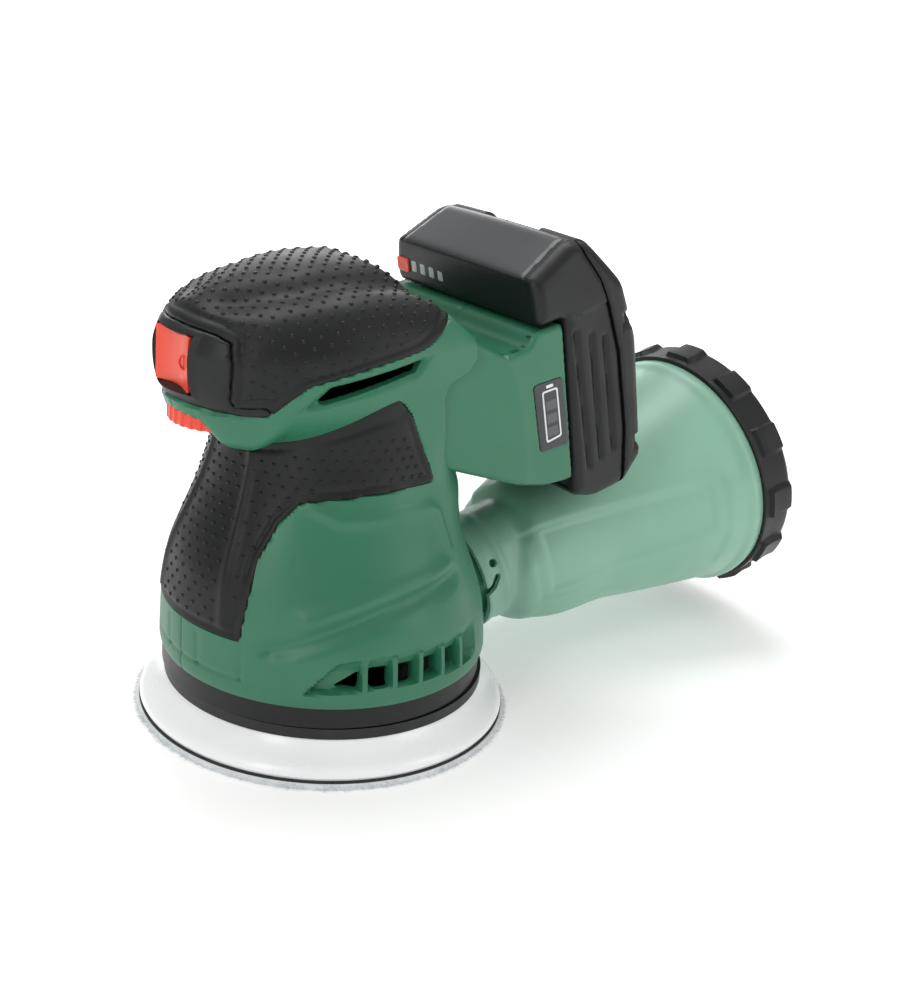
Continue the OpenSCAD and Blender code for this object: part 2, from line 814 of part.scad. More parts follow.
// Box sections: distance from the rim, half width, reach up, reach down, squareness
box_rows = [[shoulder, 19.6, 23.4, 16.6, 1], [-87, 22.6, 25.6, 19.6, 0.8], [-80, 25.4, 27.5, 22, 0.78],
    [-60, 31.4, 31, 28.4, 0.82], [-40, 36.8, 36.4, 34.2, 0.88], [-20, 41.6, 41.6, 39.8, 0.94],
    [-8, 44.6, 44.6, 43.6, 1], [0, box_r, box_r, box_r, 1]];

function box_ring(row, grow) = [for (k = [0:section_points - 1])
    let (t = 360 * k / section_points, reach = cos(t) > 0 ? row[2] : row[3])
    [(reach + grow) * signed_power(cos(t), row[4]), (row[1] + grow) * signed_power(sin(t), row[4]),
        row[0]]];

// The body of the box, moved outwards by grow, with its ends moved along the axis
module box_body(grow, low_shift = 0, high_shift = 0) {
    last = len(box_rows) - 1;
    loft([for (i = [0:last]) let (r = box_rows[i], shift = i == 0 ? low_shift : i == last ? high_shift : 0)
        box_ring([r[0] + shift, r[1], r[2], r[3], r[4]], grow)]);
}

module dust_box() {
    color([0.62, 0.82, 0.72, 0.7]) in_box_frame() difference() {
        union() {
            box_body(0);
            translate([neck_lift, 0, neck_end]) cylinder(h = shoulder - neck_end + 4, r = neck_r);
            translate([0, 0, -EPS]) cylinder(h = 10, r = box_r - 1.6);
        }
        box_body(-2, 2, 0.5);
        translate([neck_lift, 0, neck_end - 1]) cylinder(h = 40, r = spigot_r + 0.6);
        translate([0, 0, -1]) cylinder(h = 20, r = box_r - 4);
    }
}

module neck_seal() {
    color([0.1, 0.1, 0.11]) in_box_frame() translate([neck_lift, 0, neck_end + 15.4])
        tube(spigot_r + 0.6, spigot_r - 2.4, 1.6);
}

// Pleated paper cartridge on a plastic foot, standing in from the cap
module filter_cartridge() {
    color([0.9, 0.89, 0.85]) in_box_frame() {
        translate([0, 0, -56]) difference() {
            linear_extrude(62) polygon([for (i = [0:71]) let (r = i % 2 == 0 ? filter_r : filter_r - 4.5)
                [r * cos(5 * i), r * sin(5 * i)]]);
            translate([0, 0, -EPS]) cylinder(h = 70, r = filter_r - 7);
        }
        translate([0, 0, -58]) cylinder(h = 2, r = filter_r + 0.4);
        translate([0, 0, 6]) tube(box_r - 4.4, filter_r - 7, 3.6);
    }
}

module dust_box_cap() {
    color([0.09, 0.10, 0.11]) in_box_frame() difference() {
        union() {
            translate([0, 0, 0.3]) cylinder(h = cap_depth - 0.3, r = box_r + 1.4);
            for (i = [0:cap_lugs - 1]) rotate([0, 0, 360 / cap_lugs * (i + 0.5)])
                block([box_r, -5.4, 1], [box_r + 2.6, 5.4, cap_depth - 1.5]);
        }
        cylinder(h = 10.6, r = box_r - 1.2);
        for (a = [0:45:315]) rotate([0, 0, a]) translate([30, 0, 0]) cylinder(h = 30, r = 5);
    }
}

housing_left();
housing_right();
top_grip();
waist_grip();
nose_panel();
front_plate();
base_ring();
brake_ring();
fan_housing();
dust_outlet();
bearing_bridge();
lower_bearing();
motor_can();
motor_magnets();
motor_end_cap();
brush_holders();
carbon_brushes();
brush_springs();
upper_bearing();
circuit_board();
switch_body();
dial_potentiometer();
terminal_block();
contact_blades();
gauge_label();
housing_screws();
motor_shaft();
armature_core();
armature_windings();
commutator();
cooling_fan();
eccentric_weight();
pad_bearing();
backing_plate();
foam_pad();
hook_layer();
fleece_disc();
pad_screw();
rocker_switch();
rocker_pin();
speed_dial();
battery_front_case();
battery_rear_case();
battery_label_panel();
battery_cells();
cell_holder();
battery_board();
battery_contacts();
level_lamps();
battery_screws();
level_button();
release_button();
release_spring();
dust_box();
filter_cartridge();
neck_seal();
dust_box_cap();
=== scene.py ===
import json

import bmesh
import bpy
import numpy as np
from mathutils import Matrix, Vector


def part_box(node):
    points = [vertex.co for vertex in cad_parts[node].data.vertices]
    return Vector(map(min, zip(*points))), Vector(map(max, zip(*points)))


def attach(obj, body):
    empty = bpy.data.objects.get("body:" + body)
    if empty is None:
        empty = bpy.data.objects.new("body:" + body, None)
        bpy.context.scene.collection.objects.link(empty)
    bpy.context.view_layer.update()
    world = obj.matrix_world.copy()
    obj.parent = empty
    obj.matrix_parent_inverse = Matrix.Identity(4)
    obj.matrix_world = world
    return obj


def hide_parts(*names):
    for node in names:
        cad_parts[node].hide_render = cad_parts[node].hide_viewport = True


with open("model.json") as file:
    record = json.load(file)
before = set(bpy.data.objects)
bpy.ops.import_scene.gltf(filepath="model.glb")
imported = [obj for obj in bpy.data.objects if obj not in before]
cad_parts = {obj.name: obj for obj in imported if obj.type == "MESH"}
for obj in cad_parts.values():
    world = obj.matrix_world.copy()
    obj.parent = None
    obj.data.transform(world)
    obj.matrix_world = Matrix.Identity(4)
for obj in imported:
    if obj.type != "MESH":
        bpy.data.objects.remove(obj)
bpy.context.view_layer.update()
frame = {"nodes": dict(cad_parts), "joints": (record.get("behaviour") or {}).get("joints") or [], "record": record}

bl_info = {
    "name": "Cordless orbital sander",
    "version": (1, 0, 0),
    "blender": (4, 5, 0),
    "location": "View3D > Sidebar > Sander",
    "description": "Builds the sander's mouldings, grips, pack, dust box and pad around its CAD frame",
    "category": "Add Mesh",
}

MM = 0.001

# ---------- frames, in millimetres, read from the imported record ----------

JOINTS = {j["name"]: j for j in frame["joints"]}
MOUNTS = {m["name"]: m for m in frame["record"]["mounts"]}
SLOTS = {s["node"]: s["material_slot"] for s in frame["record"]["subparts"]}


def unit(name):
    """The direction of a joint's axis."""
    v = np.array(JOINTS[name]["axis"], float)
    return v / np.linalg.norm(v)


def spot(name):
    """The place of a joint's axis, in millimetres."""
    return np.array(JOINTS[name]["pos_m"], float) / MM


SIDE = np.array([0.0, 1.0, 0.0])
PACK_UP = unit("battery_slide")
PACK_BACK = np.array([PACK_UP[2], 0.0, -PACK_UP[0]])
PACK_ZERO = np.array(MOUNTS["battery_rail"]["pos_m"], float) / MM + 3.8 * PACK_BACK
BOX_OUT = unit("dust_box_pull")
BOX_UP = np.array([-BOX_OUT[2], 0.0, BOX_OUT[0]])
BOX_RIM = spot("cap_turn")
DIAL = spot("dial_turn")
PAD = spot("pad_spin")


def node_box(name):
    """Lowest and highest corner of a CAD node, in millimetres."""
    low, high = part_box(name)
    return np.array(low) / MM, np.array(high) / MM


# ---------- curves and distances ----------


def smooth(knots, x, column=1):
    """A cubic through the knots whose slope at each is the mean of its neighbours' slopes."""
    xs, ys = knots[:, 0], knots[:, column]
    h = np.diff(xs)
    d = np.diff(ys) / h
    m = np.zeros(len(xs))
    m[1:-1] = (d[:-1] * h[1:] + d[1:] * h[:-1]) / (h[:-1] + h[1:])
    i = np.clip(np.searchsorted(xs, x) - 1, 0, len(h) - 1)
    t = np.clip((x - xs[i]) / h[i], 0, 1)
    return (ys[i] * (1 + 2 * t) * (1 - t) ** 2 + m[i] * h[i] * t * (1 - t) ** 2
            + ys[i + 1] * t * t * (3 - 2 * t) + m[i + 1] * h[i] * t * t * (t - 1))


def ease(x, low, high):
    """0 below low, 1 above high, and a smooth S between."""
    t = np.clip((x - low) / (high - low), 0, 1)
    return t * t * (3 - 2 * t)


def bump(x, width):
    """A bell of height 1 about zero."""
    return np.exp(-(x / width) ** 2)


def soft_min(a, b, k):
    """The lesser of two distances, with the corner between them rounded over k."""
    h = np.clip(k - np.abs(a - b), 0, None) / k
    return np.minimum(a, b) - h * h * k / 4


def signed_power(v, e):
    """A power of the size of a number, with the number's sign."""
    return np.sign(v) * np.abs(v) ** e


def segments(points, x, z, closed):
    """Distance from each place to the nearest edge of a line of points, and the edges' crossings."""
    a = np.asarray(points, float)
    b = np.roll(a, -1, 0)
    if not closed:
        a, b = a[:-1], b[:-1]
    px, pz = x[..., None] - a[:, 0], z[..., None] - a[:, 1]
    ex, ez = (b - a).T
    t = np.clip((px * ex + pz * ez) / (ex * ex + ez * ez + 1e-12), 0, 1)
    gap = np.sqrt(((px - t * ex) ** 2 + (pz - t * ez) ** 2).min(-1))
    above = (a[:, 1] > z[..., None]) != (b[:, 1] > z[..., None])
    crossed = above & (px < ex * pz / np.where(ez == 0, 1e-9, ez))
    return gap, crossed.sum(-1) % 2 == 1


def inside(outline, x, z):
    """Distance to a closed outline, positive inside it."""
    gap, within = segments(outline, x, z, True)
    return np.where(within, gap, -gap)


def off_line(line, x, z):
    """Distance to an open line."""
    return segments(line, x, z, False)[0]


def rounded(outline, radius, step):
    """A closed outline with each corner turned by a parabola, then points at even steps along it."""
    a = np.asarray(outline, float)
    rows = []
    for i in range(len(a)):
        before, here, after = a[i - 1], a[i], a[(i + 1) % len(a)]
        to, on = before - here, after - here
        lt, ln = np.linalg.norm(to), np.linalg.norm(on)
        p = here + to / lt * min(radius, 0.48 * lt)
        q = here + on / ln * min(radius, 0.48 * ln)
        t = np.linspace(0, 1, 7)[:, None]
        rows.append(p * (1 - t) ** 2 + 2 * here * t * (1 - t) + q * t * t)
    loop = np.concatenate(rows)
    loop = np.concatenate([loop, loop[:1]])
    along = np.concatenate([[0], np.cumsum(np.linalg.norm(np.diff(loop, axis=0), axis=1))])
    even = np.linspace(0, along[-1], max(int(along[-1] / step), 12), endpoint=False)
    return np.stack([np.interp(even, along, loop[:, k]) for k in (0, 1)], 1)


def steps(low, high, size, extra=()):
    """Even values from low to high, with some more put in, none closer than a fifth of a step."""
    base = np.linspace(low, high, int(round((high - low) / size)) + 1)
    far = [x for x in base if all(abs(x - e) > size * 0.45 for e in extra)]
    return np.array(sorted([low, high] + [x for x in far if low < x < high] + list(extra)))


# ---------- surfaces to meshes: a shell is points, quads and triangles ----------

NO_TRIS = np.zeros((0, 3), int)
# parts of a grid step: how near a border a grid point must be to be moved on to it, and how far it may go
SNAP_REACH, SNAP_SHIFT = 0.62, 0.6
FAR_INSIDE = 9.0


def joined(shells):
    """Several shells as one."""
    first = np.cumsum([0] + [len(s[0]) for s in shells[:-1]])
    return (np.concatenate([s[0] for s in shells]),
            np.concatenate([s[1] + k for s, k in zip(shells, first)]),
            np.concatenate([s[2] + k for s, k in zip(shells, first)]))


def mirrored(shell):
    """The shell on the other side of the joint plane, with its faces turned to stay outward."""
    return shell[0] * [1, -1, 1], shell[1][:, ::-1], shell[2][:, ::-1]


def walled(points, quads, tris, below, rows=1):
    """Closes a sheet into a solid: the sheet, a copy at below(points, 1) turned round, and between
    their open edges a band of as many rows as asked, at below(points, t)."""
    count = len(points)
    edges = np.concatenate([quads[:, [0, 1]], quads[:, [1, 2]], quads[:, [2, 3]], quads[:, [3, 0]],
                            tris[:, [0, 1]], tris[:, [1, 2]], tris[:, [2, 0]]])
    key, back = edges[:, 0] * count + edges[:, 1], edges[:, 1] * count + edges[:, 0]
    rim = edges[~np.isin(key, back)]
    ids = np.unique(rim)
    place = np.zeros(count, int)
    place[ids] = np.arange(len(ids))
    layers = [points, below(points, 1.0)]
    layers += [below(points, k / rows)[ids] for k in range(1, rows)]
    ring = [rim] + [2 * count + (k - 1) * len(ids) + place[rim] for k in range(1, rows)] + [rim + count]
    bands = [np.stack([a[:, 1], a[:, 0], b[:, 0], b[:, 1]], 1) for a, b in zip(ring[:-1], ring[1:])]
    return (np.concatenate(layers), np.concatenate([quads, quads[:, ::-1] + count] + bands),
            np.concatenate([tris, tris[:, ::-1] + count]))


def patch(surface, u, v, keep=None, lift=None, wall=2.2, core=(0, 0, 90), pole=False, rows=1,
          below=None):
    """A trimmed sheet of a surface of two parameters, thickened inwards. keep(points) is positive
    where the sheet stays; grid points near its zero line are moved on to it along its slope. lift
    (points, keep) raises the sheet along its normal, which points away from core."""
    i0, j0 = np.meshgrid(np.arange(len(u), dtype=float), np.arange(len(v), dtype=float), indexing="ij")

    def at(i, j):
        return surface(np.interp(i, np.arange(len(u)), u), np.interp(j, np.arange(len(v)), v))

    i, j = i0.copy(), j0.copy()
    p = at(i, j)
    held = np.ones(i.shape, bool)
    field = np.full(i.shape, FAR_INSIDE)
    if keep is not None:
        field = keep(p)
        gi, gj = np.gradient(field)
        slope = gi * gi + gj * gj + 1e-9
        moved = None
        for _ in range(3):
            si, sj = -field * gi / slope, -field * gj / slope
            si[[0, -1]] = 0
            sj[:, [0, -1]] = 0
            if moved is None:
                moved = np.hypot(si, sj) < SNAP_REACH
            i = np.where(moved, np.clip(i + si, i0 - SNAP_SHIFT, i0 + SNAP_SHIFT), i)
            j = np.where(moved, np.clip(j + sj, j0 - SNAP_SHIFT, j0 + SNAP_SHIFT), j)
            i, j = np.clip(i, 0, len(u) - 1), np.clip(j, 0, len(v) - 1)
            p = at(i, j)
            field = keep(p)
        held = (moved & (field > -0.3)) | (field > 0)
    du, dv = np.gradient(p, axis=0), np.gradient(p, axis=1)
    normal = np.cross(du, dv)
    normal /= np.linalg.norm(normal, axis=-1, keepdims=True) + 1e-12
    if ((p - np.asarray(core, float)) * normal).sum(-1)[held].mean() < 0:
        normal = -normal
        order = [0, 3, 2, 1]
    else:
        order = [0, 1, 2, 3]
    if lift is not None:
        p = p + normal * lift(p, field)[..., None]
    ids = np.arange(p.shape[0] * p.shape[1]).reshape(p.shape[:2])
    cells = np.stack([ids[:-1, :-1], ids[1:, :-1], ids[1:, 1:], ids[:-1, 1:]], -1).reshape(-1, 4)[:, order]
    flat, up, f = p.reshape(-1, 3), normal.reshape(-1, 3), field.ravel()
    kept = held.ravel()[cells]
    whole = kept.all(1) & (f[cells].mean(1) > 0.02)
    quads = cells[whole]
    three = kept.sum(1) == 3
    c, k = cells[three], kept[three]
    gone = np.argmin(k, 1)
    row = np.arange(len(c))
    tris = np.stack([c[row, (gone + n) % 4] for n in (1, 2, 3)], 1)
    tris = tris[f[tris].mean(1) > 0.02]
    if pole:
        top = ids[:, -1]
        flat = np.concatenate([flat, [flat[top].mean(0) * [1, 0, 1]]])
        up = np.concatenate([up, [[0, 0, 1.0]]])
        fan = np.stack([top[:-1], top[1:], np.full(len(top) - 1, len(flat) - 1)], 1)
        a, b, cc = (flat[fan[:, n]] for n in range(3))
        if np.cross(b - a, cc - a)[:, 2].sum() < 0:
            fan = fan[:, ::-1]
        tris = np.concatenate([tris, fan])
    used = np.unique(np.concatenate([quads.ravel(), tris.ravel()]))
    place = np.zeros(len(flat), int)
    place[used] = np.arange(len(used))
    flat, up, quads, tris = flat[used], up[used], place[quads], place[tris]
    if wall == 0 and below is None:
        return flat, quads, tris
    return walled(flat, quads, tris, below or (lambda q, t: q - up * wall * t), rows)


def turned(profile, count, centre, axis, up, swell=None):
    """A closed profile of (radius, height) points carried round an axis. swell(angle, profile)
    adds to the radius. Its section runs anticlockwise, with the radius to the right."""
    a = np.linspace(0, 2 * np.pi, count, endpoint=False)[:, None]
    prof = np.asarray(profile, float)
    r, h = prof[None, :, 0] + 0 * a, prof[None, :, 1] + 0 * a
    if swell is not None:
        r = r + swell(a, prof)
    side = np.cross(axis, up)
    p = (np.asarray(centre, float) + (r * np.cos(a))[..., None] * up + (r * np.sin(a))[..., None] * side
         + h[..., None] * axis)
    ids = np.arange(count * len(prof)).reshape(count, len(prof))
    n, m = np.roll(ids, -1, 0), np.roll(ids, -1, 1)
    nm = np.roll(n, -1, 1)
    return p.reshape(-1, 3), np.stack([ids, n, nm, m], -1).reshape(-1, 4), NO_TRIS


def stacked(rings, top, bottom, out):
    """A solid of equal rings one above another along out, closed by a fan about a point at each end."""
    n = len(rings[0])
    pts = np.concatenate(list(rings) + [[top], [bottom]])
    k = np.arange(n)
    on = (k + 1) % n
    quads = np.concatenate([np.stack([i * n + k, i * n + on, (i + 1) * n + on, (i + 1) * n + k], 1)
                            for i in range(len(rings) - 1)])
    last, high, low = (len(rings) - 1) * n, len(pts) - 2, len(pts) - 1
    tris = np.concatenate([np.stack([last + k, last + on, np.full(n, high)], 1),
                           np.stack([on, k, np.full(n, low)], 1)])
    a, b, c = pts[tris[0]]
    if np.dot(np.cross(b - a, c - a), out) < 0:
        quads, tris = quads[:, ::-1], tris[:, ::-1]
    return pts, quads, tris


def tablet(outline, origin, across, along, out, low, high, round_r=0.6, dish=0.0):
    """A small raised block: the outline, drawn on two directions, carried from low to high along out,
    its top edge turned by a quarter circle and closed by a fan about its middle."""
    o = np.asarray(outline, float)
    mid = o.mean(0)
    reach = np.linalg.norm(o - mid, axis=1, keepdims=True)
    t = np.linspace(0, np.pi / 2, 5)
    inset = np.concatenate([[0, 0], round_r * (1 - np.cos(t[1:])), [round_r + (reach.min() - round_r) * 0.5]])
    rise = np.concatenate([[low, high - round_r], high - round_r + round_r * np.sin(t[1:]),
                           [high - dish * 0.7]])

    def place(ring, h):
        return np.asarray(origin) + ring[:, :1] * across + ring[:, 1:] * along + h * np.asarray(out)

    rings = [place(mid + (o - mid) * (1 - k / reach), h) for k, h in zip(inset, rise)]
    return stacked(rings, place(mid[None], high - dish)[0], place(mid[None], low)[0], out)


def domes(centres, normals, radius, height):
    """Small round bumps, eighteen triangles each, seated just below the surface."""
    n = np.asarray(normals)
    a = np.cross(n, [0.3, 0.2, 0.93])
    a /= np.linalg.norm(a, axis=1, keepdims=True)
    b = np.cross(n, a)
    ang = np.arange(6) * np.pi / 3
    ring = np.cos(ang)[None, :, None] * a[:, None] + np.sin(ang)[None, :, None] * b[:, None]
    base = centres[:, None] + ring * radius - n[:, None] * 0.25
    mid = centres[:, None] + ring * radius * 0.62 + n[:, None] * height * 0.78
    tip = (centres + n * height)[:, None]
    pts = np.concatenate([base, mid, tip], 1)
    k = np.arange(6)
    quads = np.stack([k, (k + 1) % 6, 6 + (k + 1) % 6, 6 + k], 1)
    tris = np.stack([6 + k, 6 + (k + 1) % 6, np.full(6, 12)], 1)
    first = (np.arange(len(centres)) * 13)[:, None, None]
    return pts.reshape(-1, 3), (quads[None] + first).reshape(-1, 4), (tris[None] + first).reshape(-1, 3)


def piece(name, shells, material_slot, body, stands_for=(), sharp=38):
    """Puts shells in millimetres into one object that rides on a CAD body."""
    points, quads, tris = joined(shells)
    mesh = bpy.data.meshes.new(name)
    mesh.from_pydata((points * MM).tolist(), [], quads.tolist() + tris.tolist())
    cut = bmesh.new()
    cut.from_mesh(mesh)
    bmesh.ops.remove_doubles(cut, verts=cut.verts, dist=2e-7)
    bmesh.ops.dissolve_degenerate(cut, edges=cut.edges, dist=1e-7)
    cut.to_mesh(mesh)
    cut.free()
    mesh.shade_smooth()
    mesh.set_sharp_from_angle(angle=np.radians(sharp))
    thing = bpy.data.objects.new(name, mesh)
    bpy.context.scene.collection.objects.link(thing)
    mesh.materials.append(finish_of(material_slot))
    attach(thing, body)
    if stands_for:
        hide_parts(*stands_for)
    return thing


# ---------- materials ----------


def linear(text):
    """An sRGB hex colour as linear numbers."""
    v = np.array([int(text[i:i + 2], 16) for i in (1, 3, 5)]) / 255
    return (*np.where(v <= 0.04045, v / 12.92, ((v + 0.055) / 1.055) ** 2.4), 1.0)


def add(tree, kind, settings=None, links=None):
    """Adds a node: settings are its own choices, links are values or sockets for its inputs."""
    n = tree.nodes.new(kind)
    for k, v in (settings or {}).items():
        setattr(n, k, v)
    for k, v in (links or {}).items():
        if isinstance(v, bpy.types.NodeSocket):
            tree.links.new(v, n.inputs[k])
        else:
            n.inputs[k].default_value = v
    return n


def finish(name, colour, rough, grain_mm, bite, second=None, patch_mm=12, spread=0.06, stretch=(1, 1, 1),
           weave="noise", **shader):
    """One material: a fine grain of grain_mm drives the bump, a broad one of patch_mm shifts the colour a little
    towards second and the roughness a little about rough, both over object coordinates."""
    m = bpy.data.materials.new(name)
    m.use_nodes = True
    t = m.node_tree
    t.nodes.clear()
    out = add(t, "ShaderNodeOutputMaterial")
    coords = add(t, "ShaderNodeTexCoord")
    turn = add(t, "ShaderNodeMapping", None, {"Vector": coords.outputs["Object"], "Scale": stretch})
    fine_kind = {"noise": "ShaderNodeTexNoise", "cells": "ShaderNodeTexVoronoi"}[weave]
    scale = 1000 / grain_mm
    fine = add(t, fine_kind, None, {"Vector": turn.outputs[0], "Scale": scale})
    broad = add(t, "ShaderNodeTexNoise", None,
                {"Vector": coords.outputs["Object"], "Scale": 1000 / patch_mm, "Detail": 4.0})
    grain = fine.outputs["Fac" if weave == "noise" else "Distance"]
    other = second or tuple(c * 0.8 for c in colour[:3]) + (1.0,)
    tint = add(t, "ShaderNodeMix", {"data_type": "RGBA"}, {0: broad.outputs["Fac"], 6: colour, 7: other})
    dull = add(t, "ShaderNodeMapRange", None, {
        0: broad.outputs["Fac"], 1: 0.3, 2: 0.7, 3: max(rough - spread, 0.02), 4: min(rough + spread, 1)})
    bump_node = add(t, "ShaderNodeBump", None,
                    {"Height": grain, "Strength": bite, "Distance": grain_mm * MM * 0.35})
    shade = add(t, "ShaderNodeBsdfPrincipled", None, {
        "Base Color": tint.outputs[2], "Roughness": dull.outputs[0], "Normal": bump_node.outputs[0]})
    for k, v in shader.items():
        shade.inputs[k.replace("_", " ")].default_value = v
    t.links.new(shade.outputs[0], out.inputs["Surface"])
    return m


def build_finishes(c):
    """Every material, one for each slot of the record."""
    made = {
        # spark-eroded ABS: a soft satin green with a fine grain that breaks up highlights
        "green_shell": finish("green_spark_textured_abs", c.shell, 0.4, 0.55, 0.22, c.shell_shade, 18,
                              0.05),
        # thermoplastic elastomer moulded over the shell: dark, matte, with soft grey highlights
        "soft_grip": finish("black_soft_touch_elastomer", c.grip, 0.46, 0.4, 0.3, c.grip_shade, 9, 0.06,
                            Specular_IOR_Level=0.32),
        # glass-filled nylon with an eroded texture: blue-black with a wide, weak highlight
        "black_panel": finish("black_textured_nylon", c.panel, 0.42, 0.6, 0.28, c.grip_shade, 14, 0.05,
                              Specular_IOR_Level=0.36),
        # satin insert film
        "dark_label": finish("satin_label_film", c.label, 0.3, 0.3, 0.06, None, 20, 0.03),
        # glossy acetal, a warm red orange
        "orange_button": finish("orange_moulded_acetal", c.button, 0.3, 0.35, 0.08, c.button_shade, 6,
                                0.04, Subsurface_Weight=0.08, Subsurface_Radius=(0.002, 0.0006, 0.0003)),
        # frosted lamp windows
        "grey_lamp": finish("frosted_lamp_window", c.lamp, 0.35, 0.3, 0.06, None, 4, 0.04),
        # fine-etched translucent polypropylene: milky and pale, darker where walls overlap
        "clear_green": finish("etched_translucent_polypropylene", c.box, 0.36, 0.45, 0.1, c.box_shade, 30,
                              0.05, Transmission_Weight=0.42, IOR=1.49),
        # nitrile rubber: nearly black, no shine
        "rubber_seal": finish("nitrile_rubber", linear("#101112"), 0.6, 0.4, 0.2),
        # polyurethane foam with a skin: white with a soft wet-looking gloss
        "foam": finish("skinned_white_polyurethane_foam", c.pad, 0.24, 0.9, 0.1, linear("#F3F5F6"), 16,
                       0.05, Coat_Weight=0.35, Coat_Roughness=0.2),
        # nylon hook tape: small dark loops
        "hook": finish("nylon_hook_tape", linear("#2A2C2E"), 0.8, 0.8, 0.9, None, 6, 0.05, weave="cells"),
        # needled polyester fleece: white, dull, tangled fibres
        "fleece": finish("needled_polyester_fleece", c.fleece, 0.9, 0.6, 0.8, linear("#C4CACD"), 5, 0.04,
                         (1, 1, 2.2), Sheen_Weight=0.4, Sheen_Roughness=0.5),
        "plate_nylon": finish("glass_filled_nylon", linear("#121314"), 0.5, 0.5, 0.25),
        # cellulose filter paper: warm white with a fibrous tooth
        "filter_paper": finish("pleated_cellulose_paper", linear("#E6E1D2"), 0.85, 0.5, 0.6,
                               linear("#CFC7B2"), 5),
        "grey_plastic": finish("grey_moulded_polyamide", linear("#4A4D50"), 0.48, 0.5, 0.2),
        # turned, zinc-plated steel: fine rings round the part
        "steel": finish("turned_steel", linear("#B9BBBE"), 0.3, 0.35, 0.3, linear("#8E9194"), 6, 0.08,
                        (0.2, 0.2, 4), Metallic=1.0),
        # die-cast zinc and aluminium: dull grey with flow marks
        "cast_alloy": finish("die_cast_alloy", linear("#A7A9AB"), 0.5, 0.9, 0.4, linear("#8C8E90"), 8,
                             0.1, Metallic=1.0),
        "magnet": finish("sintered_ferrite", linear("#2B2C2E"), 0.62, 0.5, 0.5, linear("#1C1D1E"), 4),
        # enamelled copper wire: warm and glossy
        "copper": finish("enamelled_copper", linear("#B4622C"), 0.32, 0.5, 0.8, linear("#8A4218"), 4, 0.08,
                         (1, 1, 6), Metallic=1.0),
        "brass": finish("stamped_brass", linear("#C9A24C"), 0.34, 0.4, 0.2, linear("#A98233"), 5, 0.08,
                        Metallic=1.0),
        "carbon": finish("pressed_carbon", linear("#1E1F20"), 0.7, 0.3, 0.4, linear("#2C2D2E"), 3),
        # glass-epoxy board under green solder resist
        "board": finish("solder_resist_board", linear("#1E5A38"), 0.35, 1.6, 0.25, linear("#12402A"), 3,
                        0.06, weave="cells"),
        "cell": finish("heat_shrunk_sleeve", linear("#2F5C9C"), 0.28, 0.4, 0.08, linear("#264E86"), 10),
        # white pad print on the gauge label
        "print": finish("white_pad_print", linear("#E9ECEC"), 0.4, 0.3, 0.05),
        "print_grey": finish("grey_pad_print", linear("#56595B"), 0.4, 0.3, 0.05),
    }
    for slot_name, m in made.items():
        m["slot"] = slot_name
    return made


def finish_of(slot_name):
    """The material made for a slot."""
    return next(m for m in bpy.data.materials if m.get("slot") == slot_name)


# ---------- the body's two surfaces ----------

HEAD_X, HEAD_TOP, HEAD_LOW = -12.0, 156.64, 98.0
HEAD_CORE, COLUMN_CORE, BLOCK_CORE = (HEAD_X, 0, 125), (0, 0, 70), (45, 0, 110)
HEAD_PLAN = np.array([[0, 55], [20, 57.5], [32, 60.5], [37.4, 61], [42.3, 56.6], [50.5, 50.2], [63.1, 44.2],
                      [81.4, 40.1], [104.7, 39.3], [128.4, 42], [146, 45], [158.6, 47.7], [165.2, 48.9],
                      [172, 50.2], [180, 50.9]])
COLUMN_ROWS = np.array([[24, 55, 55.6, 55, 1], [34, 55, 54.5, 54.6, 1], [44, 55, 52.4, 53.2, 1],
                        [52, 54.6, 48.8, 51, 0.98], [60, 53.4, 44.6, 48.2, 0.94],
                        [68, 50.6, 41, 45.4, 0.9], [76, 47, 39.4, 42.8, 0.87], [84, 43.6, 38.6, 40.8, 0.84],
                        [89, 41.9, 36, 39.6, 0.8], [95, 40.2, 29, 38.7, 0.6], [100, 39.2, 26, 38.2, 0.5],
                        [106, 38.4, 25, 38, 0.42], [122, 38, 25, 38, 0.4]])


def head_shape(angle):
    """Reach of the widest ring, upper and lower exponents and its height, by direction."""
    reach = smooth(HEAD_PLAN, np.abs(np.degrees(np.arctan2(np.sin(angle), np.cos(angle)))))
    front, rear = np.clip(-np.cos(angle), 0, 1) ** 2, np.clip(np.cos(angle), 0, 1) ** 2
    flank = 1 - front - rear
    return (reach, 1.91 * front + 2.02 * flank + 1.79 * rear, 2.4 * front + 2.3 * flank + 2.2 * rear,
            130.3 * front + 131 * (flank + rear))


def rear_slope(x):
    """Height of the slope that takes the head down to the rear block."""
    return 137 + 0.9 * (24 - x)


def head_point(u, v):
    """Superellipse in each upright plane through the head's axis: u is the direction and v the
    latitude, in degrees. Cosine and sine of v, raised to two over the exponent, give the parts of
    the reach and of the half height."""
    angle, lat = np.radians(u), np.radians(v)
    reach, up, down, waist = head_shape(angle)
    p = np.where(lat >= 0, up, down)
    out = reach * np.abs(np.cos(lat)) ** (2 / p)
    rise = np.abs(np.sin(lat)) ** (2 / p) * np.where(lat >= 0, HEAD_TOP - waist, HEAD_LOW - waist)
    x = HEAD_X + out * np.cos(angle)
    return np.stack([x, out * np.sin(angle), soft_min(waist + rise, rear_slope(x), 5.0)], -1)


def head_depth(p):
    """About how far inside the head a place is."""
    dx, dy = p[..., 0] - HEAD_X, p[..., 1]
    reach, up, down, waist = head_shape(np.arctan2(dy, dx))
    dz = p[..., 2] - waist
    e = np.where(dz >= 0, up, down)
    half = np.where(dz >= 0, HEAD_TOP - waist, waist - HEAD_LOW)
    round_depth = (1 - ((np.hypot(dx, dy) / reach) ** e + (np.abs(dz) / half) ** e) ** (1 / e)) * 35
    return soft_min(round_depth, (rear_slope(p[..., 0]) - p[..., 2]) * 0.74, 3.0)


